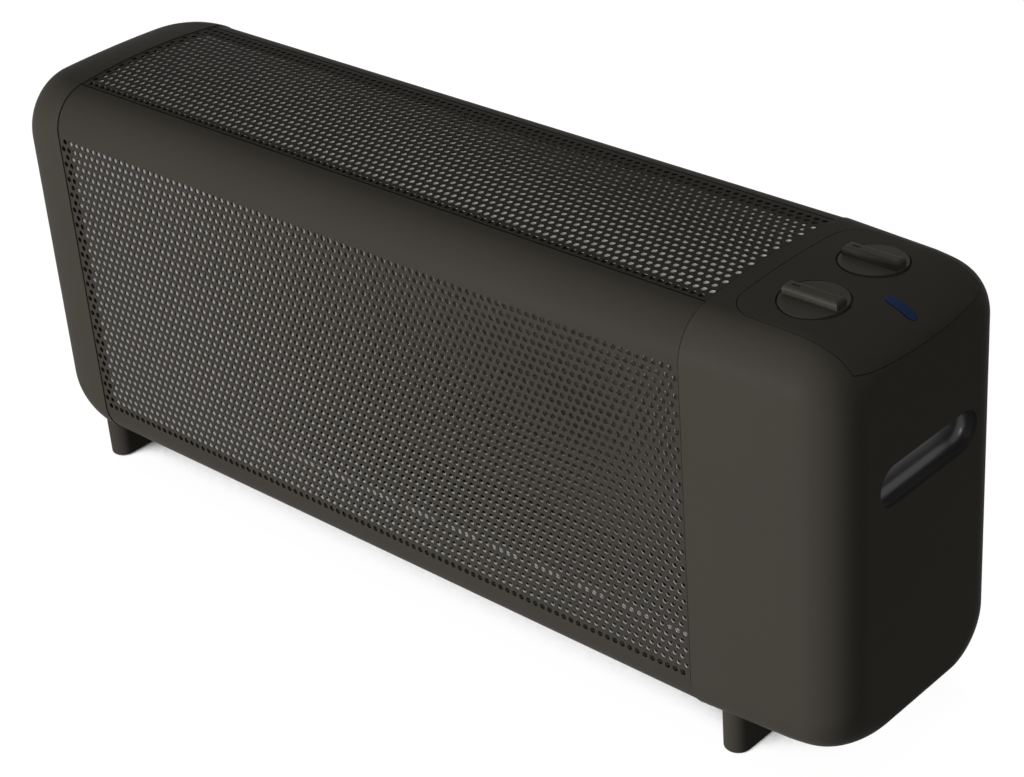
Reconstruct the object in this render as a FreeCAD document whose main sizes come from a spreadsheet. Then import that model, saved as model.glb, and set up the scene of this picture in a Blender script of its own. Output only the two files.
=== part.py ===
import FreeCAD, Part
import math
import os
import re
import Sketcher

# Micathermic heater: a perforated steel casing between two moulded end caps, on two foot bars.
# X runs along the heater with the controls at +X, the front faces -Y, and Z = 0 is the floor.
# Every size is in millimetres.

SIZES = {
    # Sheet casing between the two end caps
    "middle_length": 507,
    "casing_depth": 161,
    "casing_height": 255,
    "corner_radius": 27,
    "sheet_gauge": 0.8,
    "top_lean": 7,
    "seam_gap": 0.4,
    "grille_gap": 1.2,
    "grille_edge": 1.3,
    "panel_lip": 8,
    "sheet_fit": 0.1,
    # Perforation of the outer sheets, one hole standing for four
    "hole_pitch": 11,
    "row_pitch": 10.9,
    "hole_diameter": 7.2,
    "field_margin": 6,
    # Air slots of the base plate
    "slot_length": 26,
    "slot_width": 5,
    "slot_pitch": 36,
    "slot_row_spacing": 40,
    # Light guard sheets behind the outer ones
    "guard_gauge": 0.6,
    "guard_gap": 5,
    "guard_pitch": 22,
    "guard_hole": 13,
    # Steel bulkheads at the two seams
    "bulkhead_gauge": 1,
    "bulkhead_flange": 12,
    # Mica heating elements and the rails that hold them
    "element_offset": 22,
    "board_length": 460,
    "board_height": 170,
    "mica_core": 1,
    "foil_gauge": 0.3,
    "mica_cover": 1,
    "foil_strip": 9,
    "foil_space": 4,
    "foil_border": 12,
    "rail_gauge": 1,
    "rail_depth": 12,
    "rail_grip": 8,
    "element_fit": 0.1,
    # End caps: length, wall, and the quarter ellipses that round their ends
    "left_cap_length": 44,
    "right_cap_length": 98,
    "cap_step": 0.5,
    "cap_flattening": 0.75,
    "cap_wall": 2.5,
    "left_round_length": 43,
    "left_side_run": 43,
    "left_side_round": 13,
    "left_top_round": 9,
    "left_bottom_round": 22,
    "left_top_radius": 43,
    "left_bottom_radius": 24,
    "left_side_taper": 1,
    "right_round_length": 43,
    "right_side_run": 26.5,
    "right_side_round": 23.3,
    "right_top_round": 21.5,
    "right_bottom_round": 17,
    "right_top_radius": 14,
    "right_bottom_radius": 30,
    "right_side_taper": 6.4,
    # Bosses and screws that join the caps to the bulkheads
    "boss_diameter": 9,
    "boss_spread_y": 100,
    "boss_spread_z": 160,
    "boss_bore_depth": 16,
    "screw_diameter": 3,
    "screw_fit": 0.1,
    "screw_head_diameter": 6.4,
    "screw_head_height": 0.5,
    "cap_screw_length": 14,
    # Hand recesses in the end walls
    "recess_length": 89,
    "recess_height": 25,
    "recess_rise": 165.6,
    "recess_shift": 3.5,
    "cup_wall": 2,
    "cup_depth": 13,
    "cup_round": 5,
    "cup_flange": 4,
    "cup_flange_gauge": 1.8,
    # Control panel let into the top of the right cap
    "panel_start": 11,
    "panel_width": 114,
    "panel_corner": 17,
    "panel_drop": 14,
    "panel_droop": 4.4,
    "panel_gap": 0.5,
    "panel_ledge": 3.5,
    "panel_ledge_gauge": 2.4,
    # Round wells in the panel, the knobs that lie in them, their shafts and bushes
    "well_depth": 2.9,
    "well_gap": 1,
    "knob_run": 46,
    "knob_spacing": 52.4,
    "knob_diameter": 37.6,
    "knob_lift": 0.4,
    "knob_thickness": 2.8,
    "grip_length": 35,
    "grip_height": 4.7,
    "grip_width": 8.5,
    "grip_edge": 2,
    "pointer_length": 5,
    "pointer_width": 1.4,
    "pointer_depth": 0.6,
    "nut_room_diameter": 18,
    "nut_room_depth": 2,
    "socket_depth": 4.5,
    "shaft_diameter": 6,
    "shaft_length": 26,
    "running_clearance": 0.05,
    "bush_diameter": 9.5,
    "bush_rise": 2.3,
    "bush_clearance": 0.25,
    "nut_across_flats": 13,
    "nut_thickness": 1.9,
    "collar_diameter": 15,
    "collar_height": 1,
    # Rotary switch and thermostat
    "switch_width": 30,
    "switch_depth": 28,
    "switch_height": 24,
    "thermostat_width": 34,
    "thermostat_depth": 32,
    "thermostat_height": 20,
    "tab_width": 6.3,
    "tab_gauge": 0.8,
    "tab_length": 8,
    "tab_pitch": 9,
    # Pilot light
    "pilot_run": 81.3,
    "pilot_length": 18,
    "pilot_width": 7,
    "pilot_proud": 0.4,
    "pilot_fit": 0.15,
    "lens_base_drop": 10.5,
    "lamp_diameter": 6,
    "lamp_length": 14,
    "lamp_set_back": 4,
    # Tip-over switch on the right bulkhead
    "tilt_width": 44,
    "tilt_depth": 20,
    "tilt_height": 48,
    "tilt_wall": 2,
    "tilt_shift": -20,
    "tilt_rise": 44,
    "pivot_diameter": 3,
    "pivot_drop": 10,
    "hub_diameter": 8,
    "pendulum_length": 22,
    "bob_diameter": 14,
    "bob_thickness": 8,
    "arm_width": 4,
    "side_play": 1,
    "microswitch_width": 20,
    "microswitch_depth": 7,
    "microswitch_height": 10,
    # Other electrical pieces
    "cutout_diameter": 17,
    "cutout_height": 9,
    "cutout_ear": 24,
    "cutout_ear_gauge": 1,
    "cutout_drop": 34,
    "block_width": 32,
    "block_depth": 16,
    "block_height": 14,
    "block_shift": 26,
    "block_rise": 34,
    "block_bore": 4,
    "way_pitch": 10,
    "lead_diameter": 2.4,
    "lead_bend": 9,
    "lead_climb": 50,
    "lead_slant": 35,
    "lead_loop": 30,
    # Cord gland in the rear wall of the right cap
    "gland_run": 28,
    "gland_rise": 40,
    "gland_bore": 7.5,
    "gland_body": 11.6,
    "gland_hole": 12,
    "gland_collar": 17,
    "gland_collar_gauge": 1.2,
    "gland_length": 18,
    # Foot bars and their pads
    "foot_height": 27.5,
    "foot_width": 17,
    "foot_length": 131,
    "foot_edge": 1.5,
    "foot_fit": 0.1,
    "left_foot_run": 21,
    "right_foot_run": 13,
    "pad_diameter": 12,
    "pad_thickness": 3,
    "pad_proud": 1,
    "pad_inset": 9,
    "foot_screw_spacing": 76,
    "foot_screw_length": 24,
    "foot_screw_head_height": 3,
    "foot_counterbore": 7.4,
    "foot_web": 11,
    "foot_boss_height": 16,
    # Rear panel and base plate screws
    "rear_screw_spacing": 90,
    "sheet_screw_length": 5,
    "base_screw_spacing": 70,
    # Control panel screws and their posts
    "post_diameter": 7,
    "post_length": 12,
    "post_run": 9,
    "post_spread": 92,
    "panel_screw_length": 10,
}

PLACES = {
    "half_length": "(left_cap_length + middle_length + right_cap_length)/2",
    "left_end": "-half_length",
    "right_end": "half_length",
    "left_seam": "left_end + left_cap_length",
    "right_seam": "right_end - right_cap_length",
    "middle_centre": "(left_seam + right_seam)/2",
    "cap_bottom": "foot_height",
    "casing_bottom": "cap_bottom + cap_step",
    "casing_top": "casing_bottom + casing_height",
    "casing_centre": "casing_bottom + casing_height/2",
    "cap_top": "casing_top + cap_step",
    "half_depth": "casing_depth/2",
    "cap_half_depth": "half_depth + cap_step",
    "half_grille": "half_depth - corner_radius*(1 - sin(top_lean))",
    "edge_drop": "corner_radius*(1 - cos(top_lean))",
    "top_bend": "half_grille/sin(top_lean)",
    "chamber_start": "left_seam + bulkhead_gauge",
    "chamber_end": "right_seam - bulkhead_gauge",
    "chamber_length": "chamber_end - chamber_start",
    "bulkhead_inset": "sheet_gauge + sheet_fit",
    "bulkhead_height": "casing_height - 2*(edge_drop + grille_edge + sheet_gauge + 2*sheet_fit)",
    "bulkhead_corner": "corner_radius - 2*bulkhead_inset",
    "sandwich": "mica_core + foil_gauge + mica_cover",
    "rail_slot": "sandwich + 2*element_fit",
    "recess_centre": "casing_bottom + recess_rise",
    "knob_x": "right_seam + knob_run",
    "panel_underside": "cap_top - cap_wall",
    "deck_radius": "corner_radius + cap_step",
    "deck_lean": "top_lean*(1 - cap_flattening*knob_run/right_cap_length)",
    "deck_narrowing": "right_side_taper*knob_run/right_cap_length + deck_radius*(1 - sin(deck_lean))",
    "deck_bend": "(cap_half_depth - deck_narrowing)/sin(deck_lean)",
    "knob_sine": "knob_spacing/(2*deck_bend)",
    "knob_cosine": "sqrt(1 - knob_sine^2)",
    "knob_level": "cap_top - deck_radius*(1 - cos(deck_lean)) + deck_bend*(knob_cosine - cos(deck_lean))",
    "well_floor": "-well_depth",
    "control_seat": "well_floor - cap_wall",
    "switch_top": "control_seat - collar_height - sheet_fit",
    "pilot_x": "right_seam + pilot_run",
    "lens_base": "cap_top - lens_base_drop",
    "tilt_bottom": "cap_bottom + tilt_rise",
    "pivot_height": "tilt_bottom + tilt_height - pivot_drop",
    "block_bottom": "cap_bottom + block_rise",
    "cutout_height_z": "casing_top - cutout_drop",
    "gland_z": "cap_bottom + gland_rise",
    "left_foot_x": "left_seam - left_foot_run",
    "right_foot_x": "right_seam + right_foot_run",
    "screw_bore": "screw_diameter + 2*screw_fit",
}

doc = FreeCAD.newDocument("micathermic_heater")
sheet = doc.addObject("Spreadsheet::Sheet", "Sizes")
for row, (name, number) in enumerate(SIZES.items(), start=1):
    sheet.set(f"A{row}", name)
    sheet.set(f"B{row}", str(number))
    sheet.setAlias(f"B{row}", name)
doc.recompute()

subparts = []


def formula(text):
    """Expression text in which places are spelled out and each size names its cell."""
    def swap(word):
        name = word.group()
        if name in PLACES:
            return "(" + formula(PLACES[name]) + ")"
        return "Sizes." + name if name in SIZES else name
    return re.sub(r"[A-Za-z_]\w*", swap, text)


def value(text):
    """Number that a formula of sizes and places comes to."""
    return float(sheet.evalExpression(formula(text)))


def bind(item, **formulas):
    """Ties properties of an object to formulas; two underscores stand for a dot."""
    for path, text in formulas.items():
        item.setExpression(path.replace("__", "."), formula(text))


def place(item, x="0", y="0", z="0"):
    """Ties an object's position to formulas."""
    bind(item, Placement__Base__x=x, Placement__Base__y=y, Placement__Base__z=z)
    return item


def subpart(item, label):
    """Names an object as one of the heater's pieces."""
    item.Label = label
    subparts.append(item)
    return item


def shaped(label, shape):
    """Piece or tool whose shape is worked out from the sizes."""
    item = doc.addObject("Part::Feature", label)
    item.Shape = shape
    return item


def box(label, length, width, height, x="0", y="0", z="0"):
    """Block with its low corner at a place."""
    item = doc.addObject("Part::Box", label)
    bind(item, Length=length, Width=width, Height=height)
    return place(item, x, y, z)


def cylinder(label, diameter, height, x="0", y="0", z="0", axis="Z"):
    """Round bar from a place along an axis."""
    item = doc.addObject("Part::Cylinder", label)
    turns = {"X": ((0, 1, 0), 90), "Z": ((0, 0, 1), 0)}
    direction, angle = turns[axis]
    item.Placement.Rotation = FreeCAD.Rotation(FreeCAD.Vector(*direction), angle)
    bind(item, Radius=f"({diameter})/2", Height=height)
    return place(item, x, y, z)


def cut(label, base, tool):
    """One object less another."""
    item = doc.addObject("Part::Cut", label)
    item.Base = base
    item.Tool = tool
    return item


def fuse(label, *items):
    """Several objects joined in one."""
    item = doc.addObject("Part::MultiFuse", label)
    item.Shapes = list(items)
    return item


def new_body(label):
    """Empty body that sketches and features are added to."""
    body = doc.addObject("PartDesign::Body", label)
    body.Label = label
    return body


def sketch_on(body, plane, rise="0"):
    """Sketch on one of the body's own planes, raised along the plane's normal."""
    sketch = body.newObject("Sketcher::SketchObject", "Outline")
    support = next(item for item in body.Origin.OriginFeatures if item.Role == plane)
    sketch.AttachmentSupport = [(support, "")]
    sketch.MapMode = "FlatFace"
    bind(sketch, AttachmentOffset__Base__z=rise)
    return sketch


def hold(sketch, kind, geometry, end, text):
    """Dimension from the sketch's origin to a point, tied to a formula."""
    number = sketch.addConstraint(Sketcher.Constraint(kind, -1, 1, geometry, end, value(text)))
    sketch.setExpression(f"Constraints[{number}]", formula(text))


def size_round(sketch, geometry, diameter):
    """Diameter of a circle or arc, tied to a formula."""
    number = sketch.addConstraint(Sketcher.Constraint("Diameter", geometry, value(diameter)))
    sketch.setExpression(f"Constraints[{number}]", formula(diameter))


def polygon(sketch, points):
    """Closed outline through points given as pairs of formulas."""
    first = len(sketch.Geometry)
    spots = [FreeCAD.Vector(value(u), value(v), 0) for u, v in points]
    count = len(spots)
    for i in range(count):
        sketch.addGeometry(Part.LineSegment(spots[i], spots[(i + 1) % count]))
    for i in range(count):
        follower = first + (i + 1) % count
        sketch.addConstraint(Sketcher.Constraint("Coincident", first + i, 2, follower, 1))
    for i, (u, v) in enumerate(points):
        hold(sketch, "DistanceX", first + i, 1, u)
        hold(sketch, "DistanceY", first + i, 1, v)


def rectangle(sketch, width, height, u="0", v="0"):
    """Rectangle centred at a point of the sketch."""
    left, right = f"{u} - ({width})/2", f"{u} + ({width})/2"
    low, high = f"{v} - ({height})/2", f"{v} + ({height})/2"
    polygon(sketch, [(left, low), (right, low), (right, high), (left, high)])


def circle(sketch, diameter, u="0", v="0"):
    """Circle centred at a point of the sketch."""
    centre = FreeCAD.Vector(value(u), value(v), 0)
    number = sketch.addGeometry(Part.Circle(centre, FreeCAD.Vector(0, 0, 1), value(diameter)/2))
    hold(sketch, "DistanceX", number, 3, u)
    hold(sketch, "DistanceY", number, 3, v)
    size_round(sketch, number, diameter)


def slot(sketch, length, width, u="0", v="0"):
    """Round-ended slot along the sketch's first axis."""
    first = len(sketch.Geometry)
    radius = value(width)/2
    reach = value(length)/2 - radius
    centre = FreeCAD.Vector(value(u), value(v), 0)
    normal = FreeCAD.Vector(0, 0, 1)
    ends = [centre + FreeCAD.Vector(side*reach, 0, 0) for side in (1, -1)]
    down = FreeCAD.Vector(0, radius, 0)
    sketch.addGeometry(Part.LineSegment(ends[1] - down, ends[0] - down))
    sketch.addGeometry(Part.ArcOfCircle(Part.Circle(ends[0], normal, radius), -math.pi/2, math.pi/2))
    sketch.addGeometry(Part.LineSegment(ends[0] + down, ends[1] + down))
    sketch.addGeometry(Part.ArcOfCircle(Part.Circle(ends[1], normal, radius), math.pi/2, 3*math.pi/2))
    for i in range(4):
        follower = first + (i + 1) % 4
        sketch.addConstraint(Sketcher.Constraint("Tangent", first + i, 2, follower, 1))
    hold(sketch, "DistanceX", first + 1, 3, f"{u} + ({length} - ({width}))/2")
    hold(sketch, "DistanceY", first + 1, 3, v)
    hold(sketch, "DistanceX", first + 3, 3, f"{u} - ({length} - ({width}))/2")
    hold(sketch, "DistanceY", first + 3, 3, v)
    size_round(sketch, first + 1, width)


def pad(body, sketch, length, down=False):
    """Material added from a sketch along its normal, or against it."""
    item = body.newObject("PartDesign::Pad", "Pad")
    item.Profile = sketch
    item.Reversed = down
    bind(item, Length=length)
    return item


def pocket(body, sketch, depth, up=False):
    """Material cut from a sketch against its normal, or along it."""
    doc.recompute()
    before = body.Shape.Volume
    item = body.newObject("PartDesign::Pocket", "Pocket")
    item.Profile = sketch
    item.Reversed = up
    bind(item, Length=depth)
    doc.recompute()
    if body.Shape.Volume >= before:
        raise RuntimeError(f"a pocket of {body.Label} cuts nothing")
    return item


def round_edges(body, radius, wanted):
    """Fillet on the edges of the body's last feature that pass a test."""
    doc.recompute()
    tip = body.Tip
    names = [f"Edge{i}" for i, edge in enumerate(tip.Shape.Edges, start=1) if wanted(edge)]
    item = body.newObject("PartDesign::Fillet", "Fillet")
    item.Base = (tip, names)
    bind(item, Radius=radius)
    return item


def turned(label, points):
    """Body turned about its own Z axis from a half outline in X and Z."""
    body = new_body(label)
    sketch = sketch_on(body, "XZ_Plane")
    polygon(sketch, points)
    item = body.newObject("PartDesign::Revolution", "Revolution")
    item.Profile = sketch
    item.ReferenceAxis = (sketch, ["V_Axis"])
    item.Angle = 360
    return body


def group(label, pattern, spots, *axes):
    """Equal pieces kept as separate solids of one node, with their Z axes along one axis or one each."""
    doc.recompute()
    copies = []
    for i, spot in enumerate(spots):
        turn = FreeCAD.Rotation(FreeCAD.Vector(0, 0, 1), FreeCAD.Vector(*axes[i % len(axes)]))
        copy = pattern.Shape.copy()
        copy.Placement = FreeCAD.Placement(FreeCAD.Vector(*spot), turn)
        copies.append(copy)
    return shaped(label, Part.makeCompound(copies))


def face_of(points, lift):
    """Flat face through points in a plane; lift turns each pair into a place in space."""
    corners = [lift(u, v) for u, v in points]
    return Part.Face(Part.makePolygon(corners + corners[:1]))


def perforated(length, width, gauge, pitch, row, diameter):
    """Flat sheet lying on XY, centred, with staggered rows of holes; one strip is made per row."""
    margin = value("field_margin")
    rows = int((width - 2*margin)/row) + 1
    columns = int((length - 2*margin)/pitch) + 1
    up = FreeCAD.Vector(0, 0, 1)
    strips = []
    for j in range(rows):
        middle = (j - (rows - 1)/2)*row
        low = -width/2 if j == 0 else middle - row/2
        high = width/2 if j == rows - 1 else middle + row/2
        corners = [(-length/2, low), (length/2, low), (length/2, high), (-length/2, high)]
        outline = Part.makePolygon([FreeCAD.Vector(u, v, 0) for u, v in corners + corners[:1]])
        count = columns - j % 2
        holes = []
        for i in range(count):
            centre = FreeCAD.Vector((i - (count - 1)/2)*pitch, middle, 0)
            holes.append(Part.Wire(Part.Edge(Part.Circle(centre, -up, diameter/2))))
        strips.append(Part.Face([outline] + holes).extrude(up*gauge))
    return strips


def joined(solids):
    """One solid made of solids that meet face to face."""
    return solids[0].multiFuse(solids[1:]).Solids[0]


# Front and rear panels: perforated wall, rolled edges, and stepped lips under the top and base sheets.
def bent_edge(side, top):
    """Rolled edge of a panel with its lip, as a prism along the casing."""
    half, radius = value("half_depth"), value("corner_radius")
    gauge, fit = value("sheet_gauge"), value("sheet_fit")
    seam, lip = value("half_grille"), value("panel_lip")
    level = value("casing_top") if top else value("casing_bottom")
    inward = -1 if top else 1
    start, end = value("left_seam + seam_gap"), value("right_seam - seam_gap")

    def spot(q, drop):
        return FreeCAD.Vector(start, side*q, level + inward*drop)

    inner = radius - gauge
    centre = half - radius
    step = value("edge_drop") + (value("grille_edge") if top else gauge) + fit

    def on_roll(bend, lean):
        return spot(centre + bend*math.sin(lean), radius - bend*math.cos(lean))

    wall = math.pi/2
    outer_lean = math.radians(value("top_lean"))
    inner_lean = math.asin((seam + gauge - centre)/inner)
    edges = [
        Part.Arc(on_roll(radius, outer_lean), on_roll(radius, (outer_lean + wall)/2), on_roll(radius, wall)),
        Part.LineSegment(on_roll(radius, wall), on_roll(inner, wall)),
        Part.Arc(on_roll(inner, wall), on_roll(inner, (inner_lean + wall)/2), on_roll(inner, inner_lean)),
    ]
    corners = [on_roll(inner, inner_lean), spot(seam + gauge, radius - inner*math.cos(inner_lean)),
               spot(seam + gauge, step + gauge), spot(seam - lip, step + gauge), spot(seam - lip, step),
               spot(seam, step), spot(seam, value("edge_drop")), on_roll(radius, outer_lean)]
    for a, b in zip(corners, corners[1:]):
        if a.distanceToPoint(b) > 0.001:
            edges.append(Part.LineSegment(a, b))
    wire = Part.Wire([edge.toShape() for edge in edges])
    return Part.Face(wire).extrude(FreeCAD.Vector(end - start, 0, 0))


def casing_panel(side):
    """Whole panel for the front (side -1) or the rear (side 1)."""
    length = value("middle_length - 2*seam_gap")
    height = value("casing_height - 2*corner_radius")
    gauge = value("sheet_gauge")
    strips = perforated(length, height, gauge, value("hole_pitch"), value("row_pitch"),
                        value("hole_diameter"))
    upright = FreeCAD.Rotation(FreeCAD.Vector(1, 0, 0), 90)
    y = side*value("half_depth") + (0 if side > 0 else gauge)
    spot = FreeCAD.Vector(value("middle_centre"), y, value("casing_centre"))
    for strip in strips:
        strip.Placement = FreeCAD.Placement(spot, upright)
    return joined(strips + [bent_edge(side, True), bent_edge(side, False)])


def round_bar(diameter, start, direction, length):
    """Cylinder from a place along a direction."""
    return Part.makeCylinder(diameter/2, length, start, direction)


subpart(shaped("front_panel", casing_panel(-1)), "front_panel")
flange_places = [value("left_seam + bulkhead_flange/2"), value("right_seam - bulkhead_flange/2")]
rear_spots = [(x, value("half_depth"), value("casing_centre") + rise*value("rear_screw_spacing"))
              for x in flange_places for rise in (-1, 0, 1)]
forwards = FreeCAD.Vector(0, -1, 0)
rear_bores = [round_bar(value("screw_bore"), FreeCAD.Vector(*spot), forwards, value("corner_radius"))
              for spot in rear_spots]
rear_sheet = casing_panel(1).cut(Part.makeCompound(rear_bores)).Solids[0]
subpart(shaped("rear_panel", rear_sheet), "rear_panel")


# Top grille: perforated sheet arched from roll to roll, with turned-down edges on the panels' upper lips.
def arched_sheet(length):
    """Arched sheet along X, centred; Z = 0 is where the arch meets the rolls."""
    half, gauge, deep = value("half_grille - grille_gap"), value("sheet_gauge"), value("grille_edge")
    bend = value("top_bend")
    centre = -bend*math.cos(math.radians(value("top_lean")))

    def on_arch(y, radius):
        return FreeCAD.Vector(-length/2, y, centre + math.sqrt(radius**2 - y**2))

    inside, inner = half - gauge, bend - gauge
    right, left = on_arch(half, bend), on_arch(-half, bend)
    inner_right, inner_left = on_arch(inside, inner), on_arch(-inside, inner)
    feet = [FreeCAD.Vector(-length/2, y, -deep) for y in (half, inside, -inside, -half)]
    edges = [
        Part.Arc(left, on_arch(0, bend), right),
        Part.LineSegment(right, feet[0]),
        Part.LineSegment(feet[0], feet[1]),
        Part.LineSegment(feet[1], inner_right),
        Part.Arc(inner_right, on_arch(0, inner), inner_left),
        Part.LineSegment(inner_left, feet[2]),
        Part.LineSegment(feet[2], feet[3]),
        Part.LineSegment(feet[3], left),
    ]
    wire = Part.Wire([edge.toShape() for edge in edges])
    return Part.Face(wire).extrude(FreeCAD.Vector(length, 0, 0))


grille_length = value("middle_length - 2*seam_gap")
grille_strips = perforated(grille_length, value("2*(half_grille - grille_gap)"), value("corner_radius"),
                           value("hole_pitch"), value("row_pitch"), value("hole_diameter"))
hole_block = joined(grille_strips)
hole_block.translate(FreeCAD.Vector(0, 0, -value("corner_radius/2")))
grille_sheet = hole_block.common(arched_sheet(grille_length)).Solids[0]
top_grille = place(shaped("top_grille", grille_sheet), "middle_centre", "0", "casing_top - edge_drop")
subpart(top_grille, "top_grille")

# Base plate: flat sheet under the lower lips, with two rows of air slots.
base_plate = new_body("base_plate")
outline = sketch_on(base_plate, "XY_Plane")
rectangle(outline, "middle_length - 2*seam_gap", "2*half_grille - 2*seam_gap")
pad(base_plate, outline, "sheet_gauge")
slot_count = int(value("(middle_length - 2*bulkhead_flange - slot_length)/slot_pitch"))
air_slots = sketch_on(base_plate, "XY_Plane", "sheet_gauge")
for slot_side in (-1, 1):
    slot(air_slots, "slot_length", "slot_width", f"-{slot_count - 1}*slot_pitch/2",
         f"{slot_side}*slot_row_spacing/2")
first_slots = pocket(base_plate, air_slots, "2*sheet_gauge")
slot_rows = base_plate.newObject("PartDesign::LinearPattern", "SlotRows")
slot_rows.Originals = [first_slots]
slot_rows.Direction = (air_slots, ["H_Axis"])
slot_rows.Occurrences = slot_count
bind(slot_rows, Length=f"{slot_count - 1}*slot_pitch")
base_plate.Tip = slot_rows
base_holes = sketch_on(base_plate, "XY_Plane", "sheet_gauge")
for end in (-1, 1):
    for side in (-1, 1):
        circle(base_holes, "screw_bore", f"{end}*(middle_length/2 - bulkhead_flange/2)",
               f"{side}*base_screw_spacing/2")
pocket(base_plate, base_holes, "2*sheet_gauge")
subpart(place(base_plate, "middle_centre", "0", "casing_bottom + edge_drop"), "base_plate")


# Bulkheads: flanged steel plates that close the heating chamber; panels, guards, rails and caps meet there.
def edges_along_x(half_width):
    """Test for edges that run along X at a distance from the middle plane."""
    def wanted(edge):
        box = edge.BoundBox
        level = max(abs(box.YMin), abs(box.YMax))
        return box.XLength > box.YLength + box.ZLength and abs(level - half_width) < 0.01
    return wanted


def bulkhead(label, seam, inward):
    """Bulkhead at a seam, with a flange towards the chamber along its rear and bottom edges."""
    body = new_body(label)
    plate = sketch_on(body, "YZ_Plane")
    rectangle(plate, "casing_depth - 2*bulkhead_inset", "bulkhead_height")
    pad(body, plate, "bulkhead_flange", down=inward < 0)
    room = sketch_on(body, "YZ_Plane", f"{inward}*bulkhead_gauge")
    rectangle(room, "casing_depth - 2*bulkhead_inset - 2*bulkhead_gauge",
              "bulkhead_height - 2*bulkhead_gauge")
    pocket(body, room, "bulkhead_flange", up=inward > 0)
    outer_y = value("half_depth - bulkhead_inset")
    round_edges(body, "bulkhead_corner - bulkhead_gauge", edges_along_x(outer_y - value("bulkhead_gauge")))
    round_edges(body, "bulkhead_corner", edges_along_x(outer_y))
    holes = sketch_on(body, "YZ_Plane", "0" if inward < 0 else "bulkhead_gauge")
    for side_y in (-1, 1):
        for side_z in (-1, 1):
            circle(holes, "screw_bore", f"{side_y}*boss_spread_y/2", f"{side_z}*boss_spread_z/2")
    pocket(body, holes, "bulkhead_gauge")
    flange_holes = sketch_on(body, "XZ_Plane")
    for rise in (-1, 0, 1):
        circle(flange_holes, "screw_bore", f"{inward}*bulkhead_flange/2", f"{rise}*rear_screw_spacing")
    pocket(body, flange_holes, "casing_depth", up=False)
    sole_holes = sketch_on(body, "XY_Plane")
    for side in (-1, 1):
        circle(sole_holes, "screw_bore", f"{inward}*bulkhead_flange/2", f"{side}*base_screw_spacing/2")
    pocket(body, sole_holes, "casing_height")
    doc.recompute()
    front_top = sketch_on(body, "YZ_Plane", f"{inward}*bulkhead_gauge")
    side, high = "casing_depth/2", "casing_height/2"
    polygon(front_top, [(f"-({side})", f"-({high})"), (f"bulkhead_corner - {side}", f"-({high})"),
                        (f"bulkhead_corner - {side}", f"{high} - bulkhead_corner - edge_drop"),
                        (side, f"{high} - bulkhead_corner - edge_drop"), (side, high), (f"-({side})", high)])
    pocket(body, front_top, "bulkhead_flange", up=inward > 0)
    return subpart(place(body, seam, "0", "casing_centre"), label)


bulkhead("left_bulkhead", "left_seam", 1)
bulkhead("right_bulkhead", "right_seam", -1)


# Guards: light perforated sheets between the bulkheads, a little behind the outer sheets.
def guard(label, width, turn, y, z):
    """Flat guard sheet, turned about the long axis and set in place."""
    strips = perforated(value("chamber_length - 2*sheet_fit"), value(width), value("guard_gauge"),
                        value("guard_pitch"), value("guard_pitch"), value("guard_hole"))
    item = subpart(shaped(label, joined(strips)), label)
    item.Placement.Rotation = FreeCAD.Rotation(FreeCAD.Vector(1, 0, 0), turn)
    return place(item, "middle_centre", y, z)


guard_wall = "half_depth - sheet_gauge - guard_gap"
wall_height = "casing_height - 2*corner_radius"
guard("front_guard", wall_height, 90, f"-({guard_wall}) + guard_gauge", "casing_centre")
guard("rear_guard", wall_height, 90, guard_wall, "casing_centre")
guard("top_guard", "2*half_grille - 2*panel_lip - 4*seam_gap", 0, "0",
      "casing_top - sheet_gauge - guard_gap - guard_gauge")


# Heating elements: mica core, etched foil and mica cover, held along both edges in channel rails.
def board(label, gauge, y):
    """Upright mica sheet of an element."""
    item = box(label, "board_length", gauge, "board_height",
               "middle_centre - board_length/2", y, "casing_centre - board_height/2")
    return subpart(item, label)


def heating_foil(label, y):
    """Serpentine strip: a rectangle slit in turn from its lower and its upper edge."""
    length = value("board_length - 2*foil_border")
    height = value("board_height - 2*rail_grip - 2*foil_border")
    strip, space = value("foil_strip"), value("foil_space")
    slits = int((length - strip)/(strip + space))
    slits -= slits % 2
    width = strip + slits*(strip + space)
    low, high = [], []
    for i in range(slits):
        start = -width/2 + strip + i*(strip + space)
        run = [(start, 0), (start, height - strip), (start + space, height - strip), (start + space, 0)]
        if i % 2 == 0:
            low += [(u, v - height/2) for u, v in run]
        else:
            high += [(u, height/2 - v) for u, v in run]
    outline = [(-width/2, -height/2)] + low + [(width/2, -height/2), (width/2, height/2)]
    outline += high[::-1] + [(-width/2, height/2)]
    face = face_of(outline, lambda u, v: FreeCAD.Vector(u, 0, v))
    item = shaped(label, face.extrude(FreeCAD.Vector(0, value("foil_gauge"), 0)))
    return place(subpart(item, label), "middle_centre", y, "casing_centre")


def element(name, side):
    """Element on the front (side -1) or rear (side 1) of the chamber's middle plane."""
    front = f"{side}*element_offset - sandwich/2"
    board(f"{name}_mica_core", "mica_core", front)
    heating_foil(f"{name}_heating_foil", f"{front} + mica_core")
    board(f"{name}_mica_cover", "mica_cover", f"{front} + mica_core + foil_gauge")


element("front", -1)
element("rear", 1)

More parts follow.
